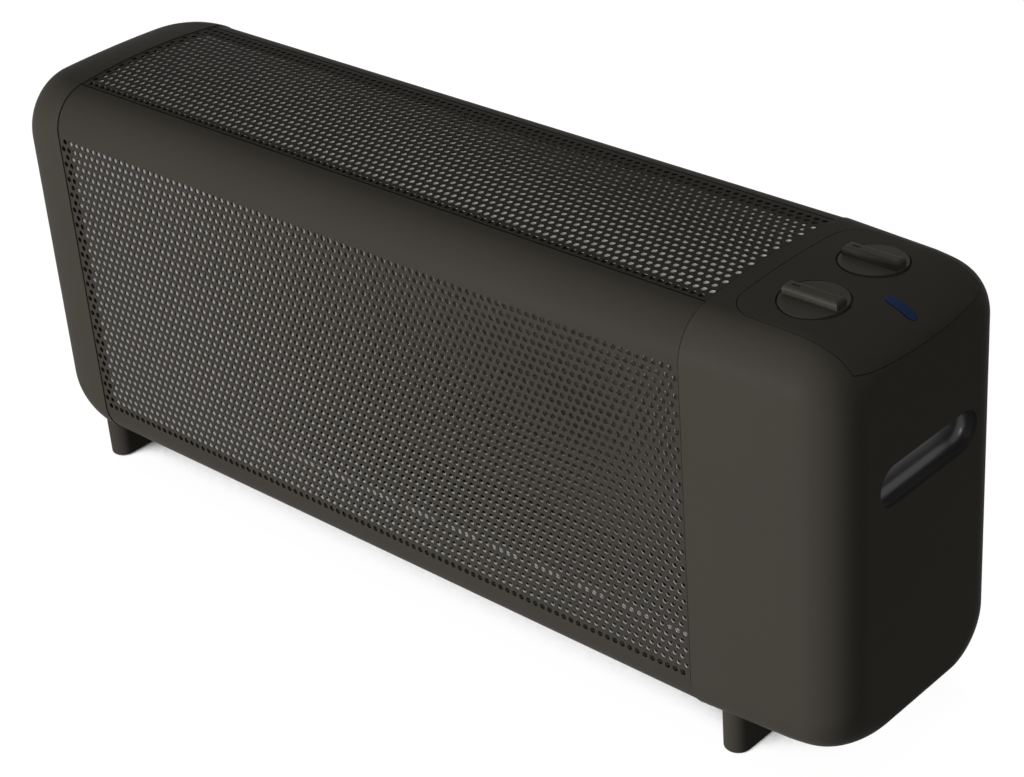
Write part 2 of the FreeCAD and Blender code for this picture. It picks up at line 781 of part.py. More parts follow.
rail_outer = box("RailBar", "chamber_length - 2*element_fit", "rail_slot + 2*rail_gauge", "rail_depth",
                 "-(chamber_length - 2*element_fit)/2", "-rail_slot/2 - rail_gauge", "-rail_depth")
rail_slit = box("RailSlot", "chamber_length", "rail_slot", "rail_grip + element_fit",
                "-chamber_length/2", "-rail_slot/2", "-rail_grip - element_fit")
rail = cut("Rail", rail_outer, rail_slit)
rail_level = value("board_height/2 - rail_grip")
rails = []
doc.recompute()
for side in (-1, 1):
    for level in (-1, 1):
        bar = rail.Shape.copy()
        if level > 0:
            bar.rotate(FreeCAD.Vector(0, 0, 0), FreeCAD.Vector(1, 0, 0), 180)
        bar.translate(FreeCAD.Vector(value("middle_centre"), side*value("element_offset"),
                                     value("casing_centre") + level*rail_level))
        rails.append(bar)
subpart(shaped("element_rails", Part.makeCompound(rails)), "element_rails")


# End caps: hollow mouldings, arched on top, whose sides, top and underside end in quarter ellipses.
def cap_form(name, sign):
    """Sizes of the left or right cap as numbers; sign is the way its end points along X."""
    form = {"sign": sign, "seam": value(f"{name}_seam"), "length": value(f"{name}_cap_length")}
    for size in ("round_length", "side_run", "side_round", "top_round", "bottom_round", "top_radius",
                 "bottom_radius", "side_taper"):
        form[size] = value(f"{name}_{size}")
    return form


LEFT, RIGHT = cap_form("left", -1), cap_form("right", 1)
ROUND_STATIONS = 12


def bulge(run, length):
    """Share of a quarter ellipse's fall that is left run millimetres in from the end."""
    return 1 - math.sqrt(1 - max(0, 1 - run/length)**2)


def cap_section(form, run, inset):
    """Wire across a cap, run millimetres in from its end: flat sides, rounded corners and an arched top."""
    share = bulge(run, form["round_length"] - inset)
    side_share = bulge(run, form["side_run"] - inset)
    x = form["seam"] + form["sign"]*(form["length"] - inset - run)
    way_out = max(0, 1 - (run + inset)/form["length"])
    taper = form["side_taper"]*way_out
    top_lean = math.radians(value("top_lean"))*(1 - value("cap_flattening")*way_out)
    half = value("cap_half_depth") - inset - (form["side_round"] - inset)*side_share - taper
    top = value("cap_top") - inset - (form["top_round"] - inset)*share
    low = value("cap_bottom") + inset + (form["bottom_round"] - inset)*share
    start = value("corner_radius + cap_step")
    upper = max(1.0, start + (form["top_radius"] - start)*share - inset)
    lower = max(1.0, start + (form["bottom_radius"] - start)*share - inset)
    corners = [(1, top, -1, upper, top_lean), (-1, top, -1, upper, top_lean),
               (-1, low, 1, lower, 0), (1, low, 1, lower, 0)]
    arcs = []
    for side, level, into, radius, lean in corners:
        spots = []
        for angle in (math.pi/2, (math.pi/2 + lean)/2, lean):
            y = side*(half - radius + radius*math.sin(angle))
            spots.append(FreeCAD.Vector(x, y, level + into*radius*(1 - math.cos(angle))))
        arcs.append(spots if side*into < 0 else spots[::-1])
    edges = []
    for i, (first, middle, last) in enumerate(arcs):
        onward = arcs[(i + 1) % 4][0]
        edges.append(Part.Arc(first, middle, last).toShape())
        if i == 0:
            crest = FreeCAD.Vector(x, 0, last.z + last.y*math.tan(top_lean/2))
            edges.append(Part.Arc(last, crest, onward).toShape())
        else:
            edges.append(Part.LineSegment(last, onward).toShape())
    return Part.Wire(edges)


def cap_skin(form, inset, overrun=0.0):
    """Solid inside the cap's outer surface, drawn in by inset; overrun carries it past the seam."""
    ends = []
    for i in range(ROUND_STATIONS):
        lean = math.pi/2*(1 - i/(ROUND_STATIONS - 1))
        ends.append(cap_section(form, (form["round_length"] - inset)*(1 - math.sin(lean)), inset))
    runs = [ends[-1], cap_section(form, form["length"] - inset, inset)]
    if overrun > 0:
        runs.append(cap_section(form, form["length"] - inset + overrun, inset))
    rounded = Part.makeLoft(ends, True, False)
    straight = Part.makeLoft(runs, True, True)
    return rounded.fuse(straight).Solids[0]


def stadium(length, height, x0, x1):
    """Round-ended bar along X through the hand recess, between two places."""
    radius = height/2
    reach = length/2 - radius
    start = FreeCAD.Vector(x0, value("recess_shift"), value("recess_centre"))
    right, left = FreeCAD.Vector(0, reach, 0), FreeCAD.Vector(0, -reach, 0)
    up, out = FreeCAD.Vector(0, 0, radius), FreeCAD.Vector(0, radius, 0)
    edges = [
        Part.LineSegment(start + left - up, start + right - up),
        Part.Arc(start + right - up, start + right + out, start + right + up),
        Part.LineSegment(start + right + up, start + left + up),
        Part.Arc(start + left + up, start + left - out, start + left - up),
    ]
    wire = Part.Wire([edge.toShape() for edge in edges])
    return Part.Face(wire).extrude(FreeCAD.Vector(x1 - x0, 0, 0))


def cap_bosses(form):
    """Screw bosses along X, ending inside the end wall, and the bores to be cut in them."""
    outward = FreeCAD.Vector(form["sign"], 0, 0)
    inner = cap_skin(form, value("cap_wall")/2)
    bosses, bores = [], []
    for side_y in (-1, 1):
        for side_z in (-1, 1):
            y = side_y*value("boss_spread_y/2")
            z = value("casing_centre") + side_z*value("boss_spread_z/2")
            start = FreeCAD.Vector(form["seam"], y, z)
            bosses.append(round_bar(value("boss_diameter"), start, outward, form["length"]).common(inner))
            bores.append(round_bar(value("screw_bore"), start, outward, value("boss_bore_depth")))
    return bosses, bores


def foot_bosses(form, x):
    """Upright bosses over the foot bar, from inside the floor wall, and the bores through the floor."""
    up = FreeCAD.Vector(0, 0, 1)
    inner = cap_skin(form, value("cap_wall")/2)
    bosses, bores = [], []
    for side in (-1, 1):
        start = FreeCAD.Vector(x, side*value("foot_screw_spacing/2"), 0)
        height = value("cap_bottom + cap_wall + foot_boss_height")
        bosses.append(round_bar(value("boss_diameter"), start, up, height).common(inner))
        bores.append(round_bar(value("screw_bore"), start, up, height - value("cap_wall")))
    return bosses, bores


def recess_cut(form):
    """Tool that opens the hand recess through the end wall."""
    end = form["seam"] + form["sign"]*form["length"]
    return stadium(value("recess_length"), value("recess_height"),
                   end - form["sign"]*value("2*cap_wall"), end + form["sign"]*value("cap_wall"))


def hand_cup(form):
    """Rounded cup behind the hand recess, with a flange against the inside of the end wall."""
    sign, depth = form["sign"], value("cup_depth")
    end = form["seam"] + sign*form["length"]
    beyond = end + sign*value("cap_wall")
    long, high, wall = value("recess_length"), value("recess_height"), value("cup_wall")
    seat = value("cap_wall + sheet_fit")
    within = cap_skin(form, seat)
    body = stadium(long + 2*wall, high + 2*wall, end - sign*depth, beyond).common(within)
    reach = 2*(wall + value("cup_flange"))
    layer = within.cut(cap_skin(form, seat + value("cup_flange_gauge")))
    flange = stadium(long + reach, high + reach, end - sign*depth/2, beyond).common(layer)
    back = end - sign*(depth - wall)
    room = stadium(long, high, back, beyond)
    back_edges = [edge for edge in room.Edges
                  if abs(edge.BoundBox.XMin - back) + abs(edge.BoundBox.XMax - back) < 0.001]
    room = room.makeFillet(value("cup_round"), back_edges)
    return body.fuse(flange).cut(room).Solids[0]


def panel_prism(grow, drop):
    """Upright prism of the control panel's outline, grown by an amount, with a sagging underside."""
    start = value("right_seam + panel_start") - grow
    end = value("right_end + cap_wall")
    half = value("panel_width/2") + grow
    radius = value("panel_corner") + grow
    sag = value("panel_droop")
    z = value("cap_top") - drop - sag
    lean = radius*(1 - math.sqrt(0.5))

    def spot(x, y):
        return FreeCAD.Vector(x, y, z)

    edges = [
        Part.LineSegment(spot(end, half), spot(start + radius, half)),
        Part.Arc(spot(start + radius, half), spot(start + lean, half - lean), spot(start, half - radius)),
        Part.LineSegment(spot(start, half - radius), spot(start, radius - half)),
        Part.Arc(spot(start, radius - half), spot(start + lean, lean - half), spot(start + radius, -half)),
        Part.LineSegment(spot(start + radius, -half), spot(end, -half)),
        Part.LineSegment(spot(end, -half), spot(end, half)),
    ]
    wire = Part.Wire([edge.toShape() for edge in edges])
    high = drop + sag + value("corner_radius")
    prism = Part.Face(wire).extrude(FreeCAD.Vector(0, 0, high))

    def across(y, rise):
        return FreeCAD.Vector(start, y, z + rise)

    outline = [
        Part.Arc(across(-half, sag), across(0, 0), across(half, sag)),
        Part.LineSegment(across(half, sag), across(half, high)),
        Part.LineSegment(across(half, high), across(-half, high)),
        Part.LineSegment(across(-half, high), across(-half, sag)),
    ]
    hanging = Part.Face(Part.Wire([edge.toShape() for edge in outline]))
    return prism.common(hanging.extrude(FreeCAD.Vector(end - start, 0, 0)))


def combined(base, added, removed):
    """Base with solids added and others cut away."""
    return base.multiFuse(added).cut(Part.makeCompound(removed)).Solids[0]


wall = value("cap_wall")
overrun = value("cap_wall")

left_bosses, left_bores = cap_bosses(LEFT)
left_feet, left_foot_bores = foot_bosses(LEFT, value("left_foot_x"))
left_shell = cap_skin(LEFT, 0.0).cut(cap_skin(LEFT, wall, overrun))
left_cap = combined(left_shell, left_bosses + left_feet, left_bores + left_foot_bores + [recess_cut(LEFT)])
subpart(shaped("left_end_cap", left_cap), "left_end_cap")
subpart(shaped("left_hand_cup", hand_cup(LEFT)), "left_hand_cup")

# Right cap: the same moulding, longer, with a ledged opening for the control panel and a gland hole.
ledge = value("panel_ledge")
drop = value("panel_drop")
thick = wall + value("panel_ledge_gauge")
seat = value("cap_wall + sheet_fit")
hollow = cap_skin(RIGHT, wall, overrun).cut(panel_prism(ledge, drop + ledge))
hollow = hollow.fuse(cap_skin(RIGHT, thick, overrun))
panel_pocket = panel_prism(0.0, drop).cut(cap_skin(RIGHT, seat))
panel_window = panel_prism(-ledge, drop - ledge)
gland_spot = FreeCAD.Vector(value("right_seam + gland_run"), value("cap_half_depth") - 4*wall,
                            value("gland_z"))
gland_hole = round_bar(value("gland_hole"), gland_spot, FreeCAD.Vector(0, 1, 0), 8*wall)
right_bosses, right_bores = cap_bosses(RIGHT)
right_feet, right_foot_bores = foot_bosses(RIGHT, value("right_foot_x"))
right_shell = cap_skin(RIGHT, 0.0).cut(hollow)
right_openings = [recess_cut(RIGHT), panel_pocket, panel_window, gland_hole]
right_cap = combined(right_shell, right_bosses + right_feet, right_bores + right_foot_bores + right_openings)
subpart(shaped("right_end_cap", right_cap), "right_end_cap")
subpart(shaped("right_hand_cup", hand_cup(RIGHT)), "right_hand_cup")

# Control panel: lid that carries on the cap's outer surface, with a round well and a bush hole for each knob
# and a slot for the pilot lens.
gap = value("panel_gap")
lid = cap_skin(RIGHT, 0.0).cut(cap_skin(RIGHT, wall)).common(panel_prism(-gap, drop - gap))


def pilot_bar(grow, low, high):
    """Upright round-ended bar of the pilot light's outline."""
    radius = value("pilot_width/2") + grow
    reach = FreeCAD.Vector(value("(pilot_length - pilot_width)/2"), 0, 0)
    middle = FreeCAD.Vector(value("pilot_x"), 0, low)
    a, b = middle - reach, middle + reach
    out, away = FreeCAD.Vector(0, radius, 0), FreeCAD.Vector(radius, 0, 0)
    edges = [
        Part.LineSegment(a - out, b - out),
        Part.Arc(b - out, b + away, b + out),
        Part.LineSegment(b + out, a + out),
        Part.Arc(a + out, a - away, a - out),
    ]
    wire = Part.Wire([edge.toShape() for edge in edges])
    return Part.Face(wire).extrude(FreeCAD.Vector(0, 0, high - low))


def knob_axis(side):
    """Direction of the front (side -1) or rear (side 1) knob's axis, square to the arched panel."""
    return FreeCAD.Vector(0, side*value("knob_sine"), value("knob_cosine"))


def on_axis(side, height):
    """Formulas for a place on a knob's axis, so high above the panel's surface."""
    y = f"{side}*(knob_spacing/2 + ({height})*knob_sine)"
    return "knob_x", y, f"knob_level + ({height})*knob_cosine"


def axis_spot(side, height):
    """Numbers for a place on a knob's axis."""
    return FreeCAD.Vector(*[value(text) for text in on_axis(side, height)])


def stand(item, side, height):
    """Stands an object upright on a knob's axis."""
    item.Placement.Rotation = FreeCAD.Rotation(FreeCAD.Vector(0, 0, 1), knob_axis(side))
    return place(item, *on_axis(side, height))


lid_cuts = [pilot_bar(value("pilot_fit"), value("lens_base"), value("cap_top") + wall)]
lid_posts = []
post_spots = []
up = FreeCAD.Vector(0, 0, 1)
well_diameter = value("knob_diameter + 2*well_gap")
under_lid = cap_skin(RIGHT, wall/2)
for side in (-1, 1):
    axis = knob_axis(side)
    under, floor = axis_spot(side, "control_seat"), axis_spot(side, "well_floor")
    dish = round_bar(well_diameter + 2*wall, under, axis, value("well_depth") + wall)
    lid_posts.append(dish.common(under_lid))
    lid_cuts.append(round_bar(well_diameter, floor, axis, value("well_depth") + wall))
    lid_cuts.append(round_bar(value("bush_diameter + 2*bush_clearance"), under - axis*wall, axis, 3*wall))
for side in (-1, 1):
    spot = FreeCAD.Vector(value("right_seam + panel_start + post_run"), side*value("post_spread/2"),
                          value("panel_underside - post_length"))
    post_spots.append(spot)
    lid_posts.append(round_bar(value("post_diameter"), spot, up, value("post_length") + wall/2))
    lid_cuts.append(round_bar(value("screw_bore"), spot, up, value("panel_screw_length")))
subpart(shaped("control_panel", combined(lid.Solids[0], lid_posts, lid_cuts)), "control_panel")


# Controls: rotary switch at the front, thermostat at the rear, each with a bush, shaft, nut and knob.
def control_body(label, width, depth, height, side):
    """Switch or thermostat hung under the panel by its bush, with push-on tabs below."""
    body = new_body(label)
    case = sketch_on(body, "XY_Plane")
    rectangle(case, width, depth)
    pad(body, case, height, down=True)
    collar = sketch_on(body, "XY_Plane")
    circle(collar, "collar_diameter")
    pad(body, collar, "collar_height")
    bush = sketch_on(body, "XY_Plane")
    circle(bush, "bush_diameter")
    pad(body, bush, "collar_height + sheet_fit + cap_wall + bush_rise")
    tabs = sketch_on(body, "XY_Plane", f"-({height})")
    for step in (-1, 0, 1):
        rectangle(tabs, "tab_gauge", "tab_width", f"{step}*tab_pitch")
    pad(body, tabs, "tab_length", down=True)
    bore = sketch_on(body, "XY_Plane", "collar_height + sheet_fit + cap_wall + bush_rise")
    circle(bore, "shaft_diameter + 2*running_clearance")
    pocket(body, bore, "shaft_length")
    return subpart(stand(body, side, "switch_top"), label)


def knob(label, side):
    """Flat disc with a straight grip bar, hollow below for the nut, and a pointer notch."""
    body = new_body(label)
    disc = sketch_on(body, "XY_Plane", "knob_lift")
    circle(disc, "knob_diameter")
    pad(body, disc, "knob_thickness")
    grip = sketch_on(body, "XY_Plane", "knob_lift + knob_thickness/2")
    rectangle(grip, "grip_length", "grip_width")
    pad(body, grip, "grip_height + knob_thickness/2")
    crown = value("knob_lift + knob_thickness + grip_height")
    round_edges(body, "grip_edge", lambda edge: edge.BoundBox.ZMin > crown - 0.01)
    room = sketch_on(body, "XY_Plane", "knob_lift")
    circle(room, "nut_room_diameter")
    pocket(body, room, "nut_room_depth", up=True)
    socket = sketch_on(body, "XY_Plane", "knob_lift + nut_room_depth")
    circle(socket, "shaft_diameter + 2*running_clearance")
    pocket(body, socket, "socket_depth", up=True)
    pointer = sketch_on(body, "XY_Plane", "knob_lift + knob_thickness + grip_height")
    rectangle(pointer, "pointer_length", "pointer_width", "-(grip_length - pointer_length)/2 + 2*grip_edge")
    pocket(body, pointer, "pointer_depth")
    return subpart(stand(body, side, "well_floor"), label)


control_body("power_switch", "switch_width", "switch_depth", "switch_height", -1)
control_body("thermostat", "thermostat_width", "thermostat_depth", "thermostat_height", 1)
for name, side in (("power", -1), ("thermostat", 1)):
    knob(f"{name}_knob", side)
    shaft = cylinder(f"{name}_shaft", "shaft_diameter", "shaft_length")
    shaft_foot = "well_floor + knob_lift + nut_room_depth + socket_depth - sheet_fit - shaft_length"
    subpart(stand(shaft, side, shaft_foot), f"{name}_shaft")

nut_hex = doc.addObject("Part::Prism", "NutHex")
nut_hex.Polygon = 6
bind(nut_hex, Circumradius="nut_across_flats/sqrt(3)", Height="nut_thickness")
nut_bore = cylinder("NutBore", "bush_diameter + 2*screw_fit", "nut_thickness")
nut = cut("Nut", nut_hex, nut_bore)
nut_spots = [axis_spot(side, "well_floor + sheet_fit") for side in (-1, 1)]
subpart(group("bush_nuts", nut, nut_spots, knob_axis(-1), knob_axis(1)), "bush_nuts")

# Pilot light: blue lens through the panel, and the lamp that lies under it.
lens_form = cap_skin(RIGHT, -value("pilot_proud"))
lens = pilot_bar(0.0, value("lens_base"), value("cap_top") + wall).common(lens_form)
subpart(shaped("pilot_lens", lens.Solids[0]), "pilot_lens")
lamp = cylinder("pilot_lamp", "lamp_diameter", "lamp_length", "pilot_x - lamp_length - lamp_set_back",
                "0", "lens_base - lamp_diameter/2 - sheet_fit", axis="X")
subpart(lamp, "pilot_lamp")

# Tip-over switch: box on the right bulkhead, with a pendulum on a pin and a microswitch on its lid.
tilt = new_body("tilt_housing")
shell = sketch_on(tilt, "YZ_Plane")
rectangle(shell, "tilt_width", "tilt_height", "0", "tilt_height/2")
pad(tilt, shell, "tilt_depth")
room = sketch_on(tilt, "YZ_Plane", "tilt_wall")
rectangle(room, "tilt_width - 2*tilt_wall", "tilt_height - 2*tilt_wall", "0", "tilt_height/2")
pocket(tilt, room, "tilt_depth - 2*tilt_wall", up=True)
pin_hole = sketch_on(tilt, "YZ_Plane", "tilt_depth")
circle(pin_hole, "pivot_diameter + 2*running_clearance", "0", "tilt_height - pivot_drop")
pocket(tilt, pin_hole, "tilt_depth - tilt_wall/2")
subpart(place(tilt, "right_seam", "tilt_shift", "tilt_bottom"), "tilt_housing")
pin = cylinder("tilt_pivot_pin", "pivot_diameter", "tilt_depth - tilt_wall/2 - sheet_fit",
               "right_seam + tilt_wall/2 + sheet_fit", "tilt_shift", "pivot_height", axis="X")
subpart(pin, "tilt_pivot_pin")

pendulum = new_body("tilt_pendulum")
hub = sketch_on(pendulum, "YZ_Plane")
circle(hub, "hub_diameter")
pad(pendulum, hub, "tilt_depth - 2*tilt_wall - 2*side_play")
arm = sketch_on(pendulum, "YZ_Plane", "(tilt_depth - 2*tilt_wall - 2*side_play - bob_thickness)/2")
rectangle(arm, "arm_width", "pendulum_length", "0", "-pendulum_length/2")
pad(pendulum, arm, "bob_thickness")
bob = sketch_on(pendulum, "YZ_Plane", "(tilt_depth - 2*tilt_wall - 2*side_play - bob_thickness)/2")
circle(bob, "bob_diameter", "0", "-pendulum_length")
pad(pendulum, bob, "bob_thickness")
bearing = sketch_on(pendulum, "YZ_Plane")
circle(bearing, "pivot_diameter + 2*running_clearance")
pocket(pendulum, bearing, "tilt_depth", up=True)
subpart(place(pendulum, "right_seam + tilt_wall + side_play", "tilt_shift", "pivot_height"), "tilt_pendulum")
micro = box("tilt_microswitch", "microswitch_depth", "microswitch_width", "microswitch_height",
            "right_seam + (tilt_depth - microswitch_depth)/2", "tilt_shift - microswitch_width/2",
            "tilt_bottom + tilt_height")
subpart(micro, "tilt_microswitch")

# Thermal cut-out: disc on a two-eared plate, on the chamber side of the right bulkhead.
cutout_disc = cylinder("CutoutDisc", "cutout_diameter", "cutout_height", "chamber_end - cutout_height", "0",
                       "cutout_height_z", axis="X")
cutout_plate = box("CutoutPlate", "cutout_ear_gauge", "cutout_ear", "cutout_diameter/2",
                   "chamber_end - cutout_ear_gauge", "-cutout_ear/2", "cutout_height_z - cutout_diameter/4")
subpart(fuse("thermal_cutout", cutout_disc, cutout_plate), "thermal_cutout")

# Terminal block: three bored ways on the cap side of the right bulkhead.
block = new_body("terminal_block")
block_base = sketch_on(block, "YZ_Plane")
rectangle(block_base, "block_width", "block_height", "0", "block_height/2")
pad(block, block_base, "block_depth")
ways = sketch_on(block, "XY_Plane", "block_height")
for step in (-1, 0, 1):
    circle(ways, "block_bore", "block_depth/2", f"{step}*way_pitch")
pocket(block, ways, "block_height/2")
subpart(place(block, "right_seam", "block_shift", "block_bottom"), "terminal_block")

# Cord gland: rubber bush in the rear wall of the right cap, with a collar on each side of the wall.
gland_start = "cap_half_depth - gland_length"
gland = turned("cord_gland", [
    ("gland_bore/2", "0"), ("gland_body/2", "0"), ("gland_body/2", "gland_length - gland_collar_gauge"),
    ("gland_collar/2", "gland_length - gland_collar_gauge"), ("gland_collar/2", "gland_length"),
    ("gland_bore/2", "gland_length")])
gland.Placement.Rotation = FreeCAD.Rotation(FreeCAD.Vector(1, 0, 0), -90)
subpart(place(gland, "right_seam + gland_run", gland_start, "gland_z"), "cord_gland")


# Leads: insulated wires from the terminal block to the controls, in straight runs and tangent arcs.
def lead(points):
    """Round wire along a route, each corner rounded by the same bend."""
    bend = value("lead_bend")
    spots = [FreeCAD.Vector(*point) for point in points]
    edges = []
    last = spots[0]
    for before, corner, after in zip(spots, spots[1:], spots[2:]):
        inward = (before - corner).normalize()
        onward = (after - corner).normalize()
        half_turn = (math.pi - inward.getAngle(onward))/2
        reach = bend*math.tan(half_turn)
        start, end = corner + inward*reach, corner + onward*reach
        bisector = (inward + onward).normalize()
        middle = corner + bisector*(bend/math.cos(half_turn) - bend)
        edges.append(Part.LineSegment(last, start).toShape())
        edges.append(Part.Arc(start, middle, end).toShape())
        last = end
    edges.append(Part.LineSegment(last, spots[-1]).toShape())
    along = (spots[1] - spots[0]).normalize()
    section = Part.Wire(Part.Edge(Part.Circle(spots[0], along, value("lead_diameter")/2)))
    return Part.Wire(edges).makePipeShell([section], True, True)


def tab_spot(side, height, way):
    """Place between two tabs under a control whose case is so high."""
    under = axis_spot(side, f"switch_top - {height} - sheet_fit")
    return under + FreeCAD.Vector(way*value("tab_pitch/2"), 0, 0)


def riser(way, side, height, climb):
    """Lead from a way of the block up to a control: it climbs, slants across and climbs on to the tabs."""
    x, y = value("right_seam + block_depth/2"), value(f"block_shift + {way}*way_pitch")
    tab = tab_spot(side, height, -1)
    low = value("block_bottom + block_height")
    turn = low + value(climb)
    return lead([(x, y, low), (x, y, turn), (tab.x, tab.y, turn + value("lead_slant")), tab])


def link():
    """Lead that hangs in a loop between the two controls."""
    front, rear = tab_spot(-1, "switch_height", 1), tab_spot(1, "thermostat_height", 1)
    low = front.z - value("lead_loop")
    return lead([front, (front.x, front.y, low), (rear.x, rear.y, low), rear])


leads = [
    riser(0, 1, "thermostat_height", "2*lead_climb"),
    riser(-1, -1, "switch_height", "lead_climb"),
    link(),
]
subpart(shaped("wiring_leads", Part.makeCompound(leads)), "wiring_leads")


# Feet: round-ended bars under the caps, shaped to the caps' undersides, each on two rubber pads.
def foot(label, form, x):
    """Foot bar with screw wells and pad sockets; its top follows the cap."""
    bar = new_body(f"{label}_bar")
    outline = sketch_on(bar, "XY_Plane", "pad_proud")
    slot(outline, "foot_length", "foot_width")
    pad(bar, outline, "2*foot_height")
    base = value("pad_proud")
    round_edges(bar, "foot_edge", lambda edge: edge.BoundBox.ZMax < base + 0.01)
    wells = sketch_on(bar, "XY_Plane", "pad_proud")
    for side in (-1, 1):
        circle(wells, "foot_counterbore", f"{side}*foot_screw_spacing/2")
    pocket(bar, wells, "foot_height - pad_proud - foot_web", up=True)
    bores = sketch_on(bar, "XY_Plane", "pad_proud")
    for side in (-1, 1):
        circle(bores, "screw_bore", f"{side}*foot_screw_spacing/2")
    pocket(bar, bores, "2*foot_height", up=True)
    sockets = sketch_on(bar, "XY_Plane", "pad_proud")
    for side in (-1, 1):
        circle(sockets, "pad_diameter + 2*foot_fit", f"{side}*(foot_length/2 - pad_inset)")
    pocket(bar, sockets, "pad_thickness - pad_proud", up=True)
    bar.Placement.Rotation = FreeCAD.Rotation(FreeCAD.Vector(0, 0, 1), 90)
    place(bar, x)
    skin = shaped(f"{label}_seat", cap_skin(form, -value("foot_fit"), value("foot_width")))
    return subpart(cut(label, bar, skin), label)


foot("left_foot", LEFT, "left_foot_x")
foot("right_foot", RIGHT, "right_foot_x")
foot_places = [value("left_foot_x"), value("right_foot_x")]
UPWARD = (0, 0, 1)
pad_disc = cylinder("PadDisc", "pad_diameter", "pad_thickness")
pad_spots = [(x, side*value("foot_length/2 - pad_inset"), 0) for x in foot_places for side in (-1, 1)]
subpart(group("foot_pads", pad_disc, pad_spots, UPWARD), "foot_pads")


# Fasteners: each kind is one turned screw, repeated where it is driven.
def screw(label, head_diameter, head_height, length):
    """Screw along +Z with its head below Z = 0."""
    shank = "screw_diameter/2"
    return turned(label, [("0", f"-({head_height})"), (f"({head_diameter})/2", f"-({head_height})"),
                          (f"({head_diameter})/2", "0"), (shank, "0"), (shank, length), ("0", length)])


cap_screw = screw("CapScrew", "screw_head_diameter", "2*screw_head_height", "cap_screw_length")
for name, start, sign in (("left", value("chamber_start"), -1), ("right", value("chamber_end"), 1)):
    spots = [(start, y*value("boss_spread_y/2"), value("casing_centre") + z*value("boss_spread_z/2"))
             for y in (-1, 1) for z in (-1, 1)]
    subpart(group(f"{name}_cap_screws", cap_screw, spots, (sign, 0, 0)), f"{name}_cap_screws")

foot_screw = screw("FootScrew", "screw_head_diameter", "foot_screw_head_height", "foot_screw_length")
foot_spots = [(x, side*value("foot_screw_spacing/2"), value("foot_height - foot_web"))
              for x in foot_places for side in (-1, 1)]
subpart(group("foot_screws", foot_screw, foot_spots, UPWARD), "foot_screws")

sheet_screw = screw("SheetScrew", "screw_head_diameter", "screw_head_height", "sheet_screw_length")
subpart(group("rear_panel_screws", sheet_screw, rear_spots, (0, -1, 0)), "rear_panel_screws")
base_spots = [(x, side*value("base_screw_spacing/2"), value("casing_bottom + edge_drop"))
              for x in flange_places for side in (-1, 1)]
subpart(group("base_plate_screws", sheet_screw, base_spots, UPWARD), "base_plate_screws")

panel_screw = screw("PanelScrew", "screw_head_diameter", "2*screw_head_height",
                    "panel_screw_length - sheet_fit")
panel_screw_spots = [tuple(spot) for spot in post_spots]
subpart(group("control_panel_screws", panel_screw, panel_screw_spots, UPWARD), "control_panel_screws")

doc.recompute()
for item in doc.Objects:
    if "Invalid" in item.State or "Error" in item.State:
        raise RuntimeError(f"{item.Label} failed to build")
for item in subparts:
    if item.Shape.isNull() or not item.Shape.isValid():
        raise RuntimeError(f"{item.Label} has no valid shape")
os.makedirs("parts", exist_ok=True)
for item in subparts:
    item.Shape.exportStep(f"parts/{item.Label}.step")
print(f"{len(subparts)} pieces written")
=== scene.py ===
import math

import bmesh
import bpy
from mathutils import Matrix, Vector


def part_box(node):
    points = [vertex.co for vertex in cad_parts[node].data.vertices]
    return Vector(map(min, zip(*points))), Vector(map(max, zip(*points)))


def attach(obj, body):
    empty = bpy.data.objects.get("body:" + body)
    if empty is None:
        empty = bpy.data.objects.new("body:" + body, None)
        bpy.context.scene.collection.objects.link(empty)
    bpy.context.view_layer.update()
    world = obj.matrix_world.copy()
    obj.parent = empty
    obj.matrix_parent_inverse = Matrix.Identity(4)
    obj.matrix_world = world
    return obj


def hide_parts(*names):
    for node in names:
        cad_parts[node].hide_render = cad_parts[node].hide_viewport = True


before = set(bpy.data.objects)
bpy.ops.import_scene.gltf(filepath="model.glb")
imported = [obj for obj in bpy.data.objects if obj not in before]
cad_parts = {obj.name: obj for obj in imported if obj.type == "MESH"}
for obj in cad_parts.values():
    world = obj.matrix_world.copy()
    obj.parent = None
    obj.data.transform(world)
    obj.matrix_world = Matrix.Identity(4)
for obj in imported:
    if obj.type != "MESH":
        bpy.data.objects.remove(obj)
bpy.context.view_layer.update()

# Chassis: the two bulkheads at the seams, the rails that hold the heating elements between them, and the
# slotted base plate. All are folded from sheet steel with a dark satin powder coat, in their CAD shapes.


def new_shader(name):
    """Empty node material and its principled shader."""
    material = bpy.data.materials.new(name)
    material.use_nodes = True
    shader = material.node_tree.nodes["Principled BSDF"]
    return material, shader


def noise(material, scale, detail=2.0, stretch=(1, 1, 1)):
    """Noise in the piece's own coordinates; scale counts its features in a metre."""
    tree = material.node_tree
    place = tree.nodes.new("ShaderNodeTexCoord")
    mapping = tree.nodes.new("ShaderNodeMapping")
    mapping.inputs["Scale"].default_value = stretch
    grain = tree.nodes.new("ShaderNodeTexNoise")
    grain.inputs["Scale"].default_value = scale
    grain.inputs["Detail"].default_value = detail
    tree.links.new(place.outputs["Object"], mapping.inputs["Vector"])
    tree.links.new(mapping.outputs["Vector"], grain.inputs["Vector"])
    return grain.outputs["Fac"]


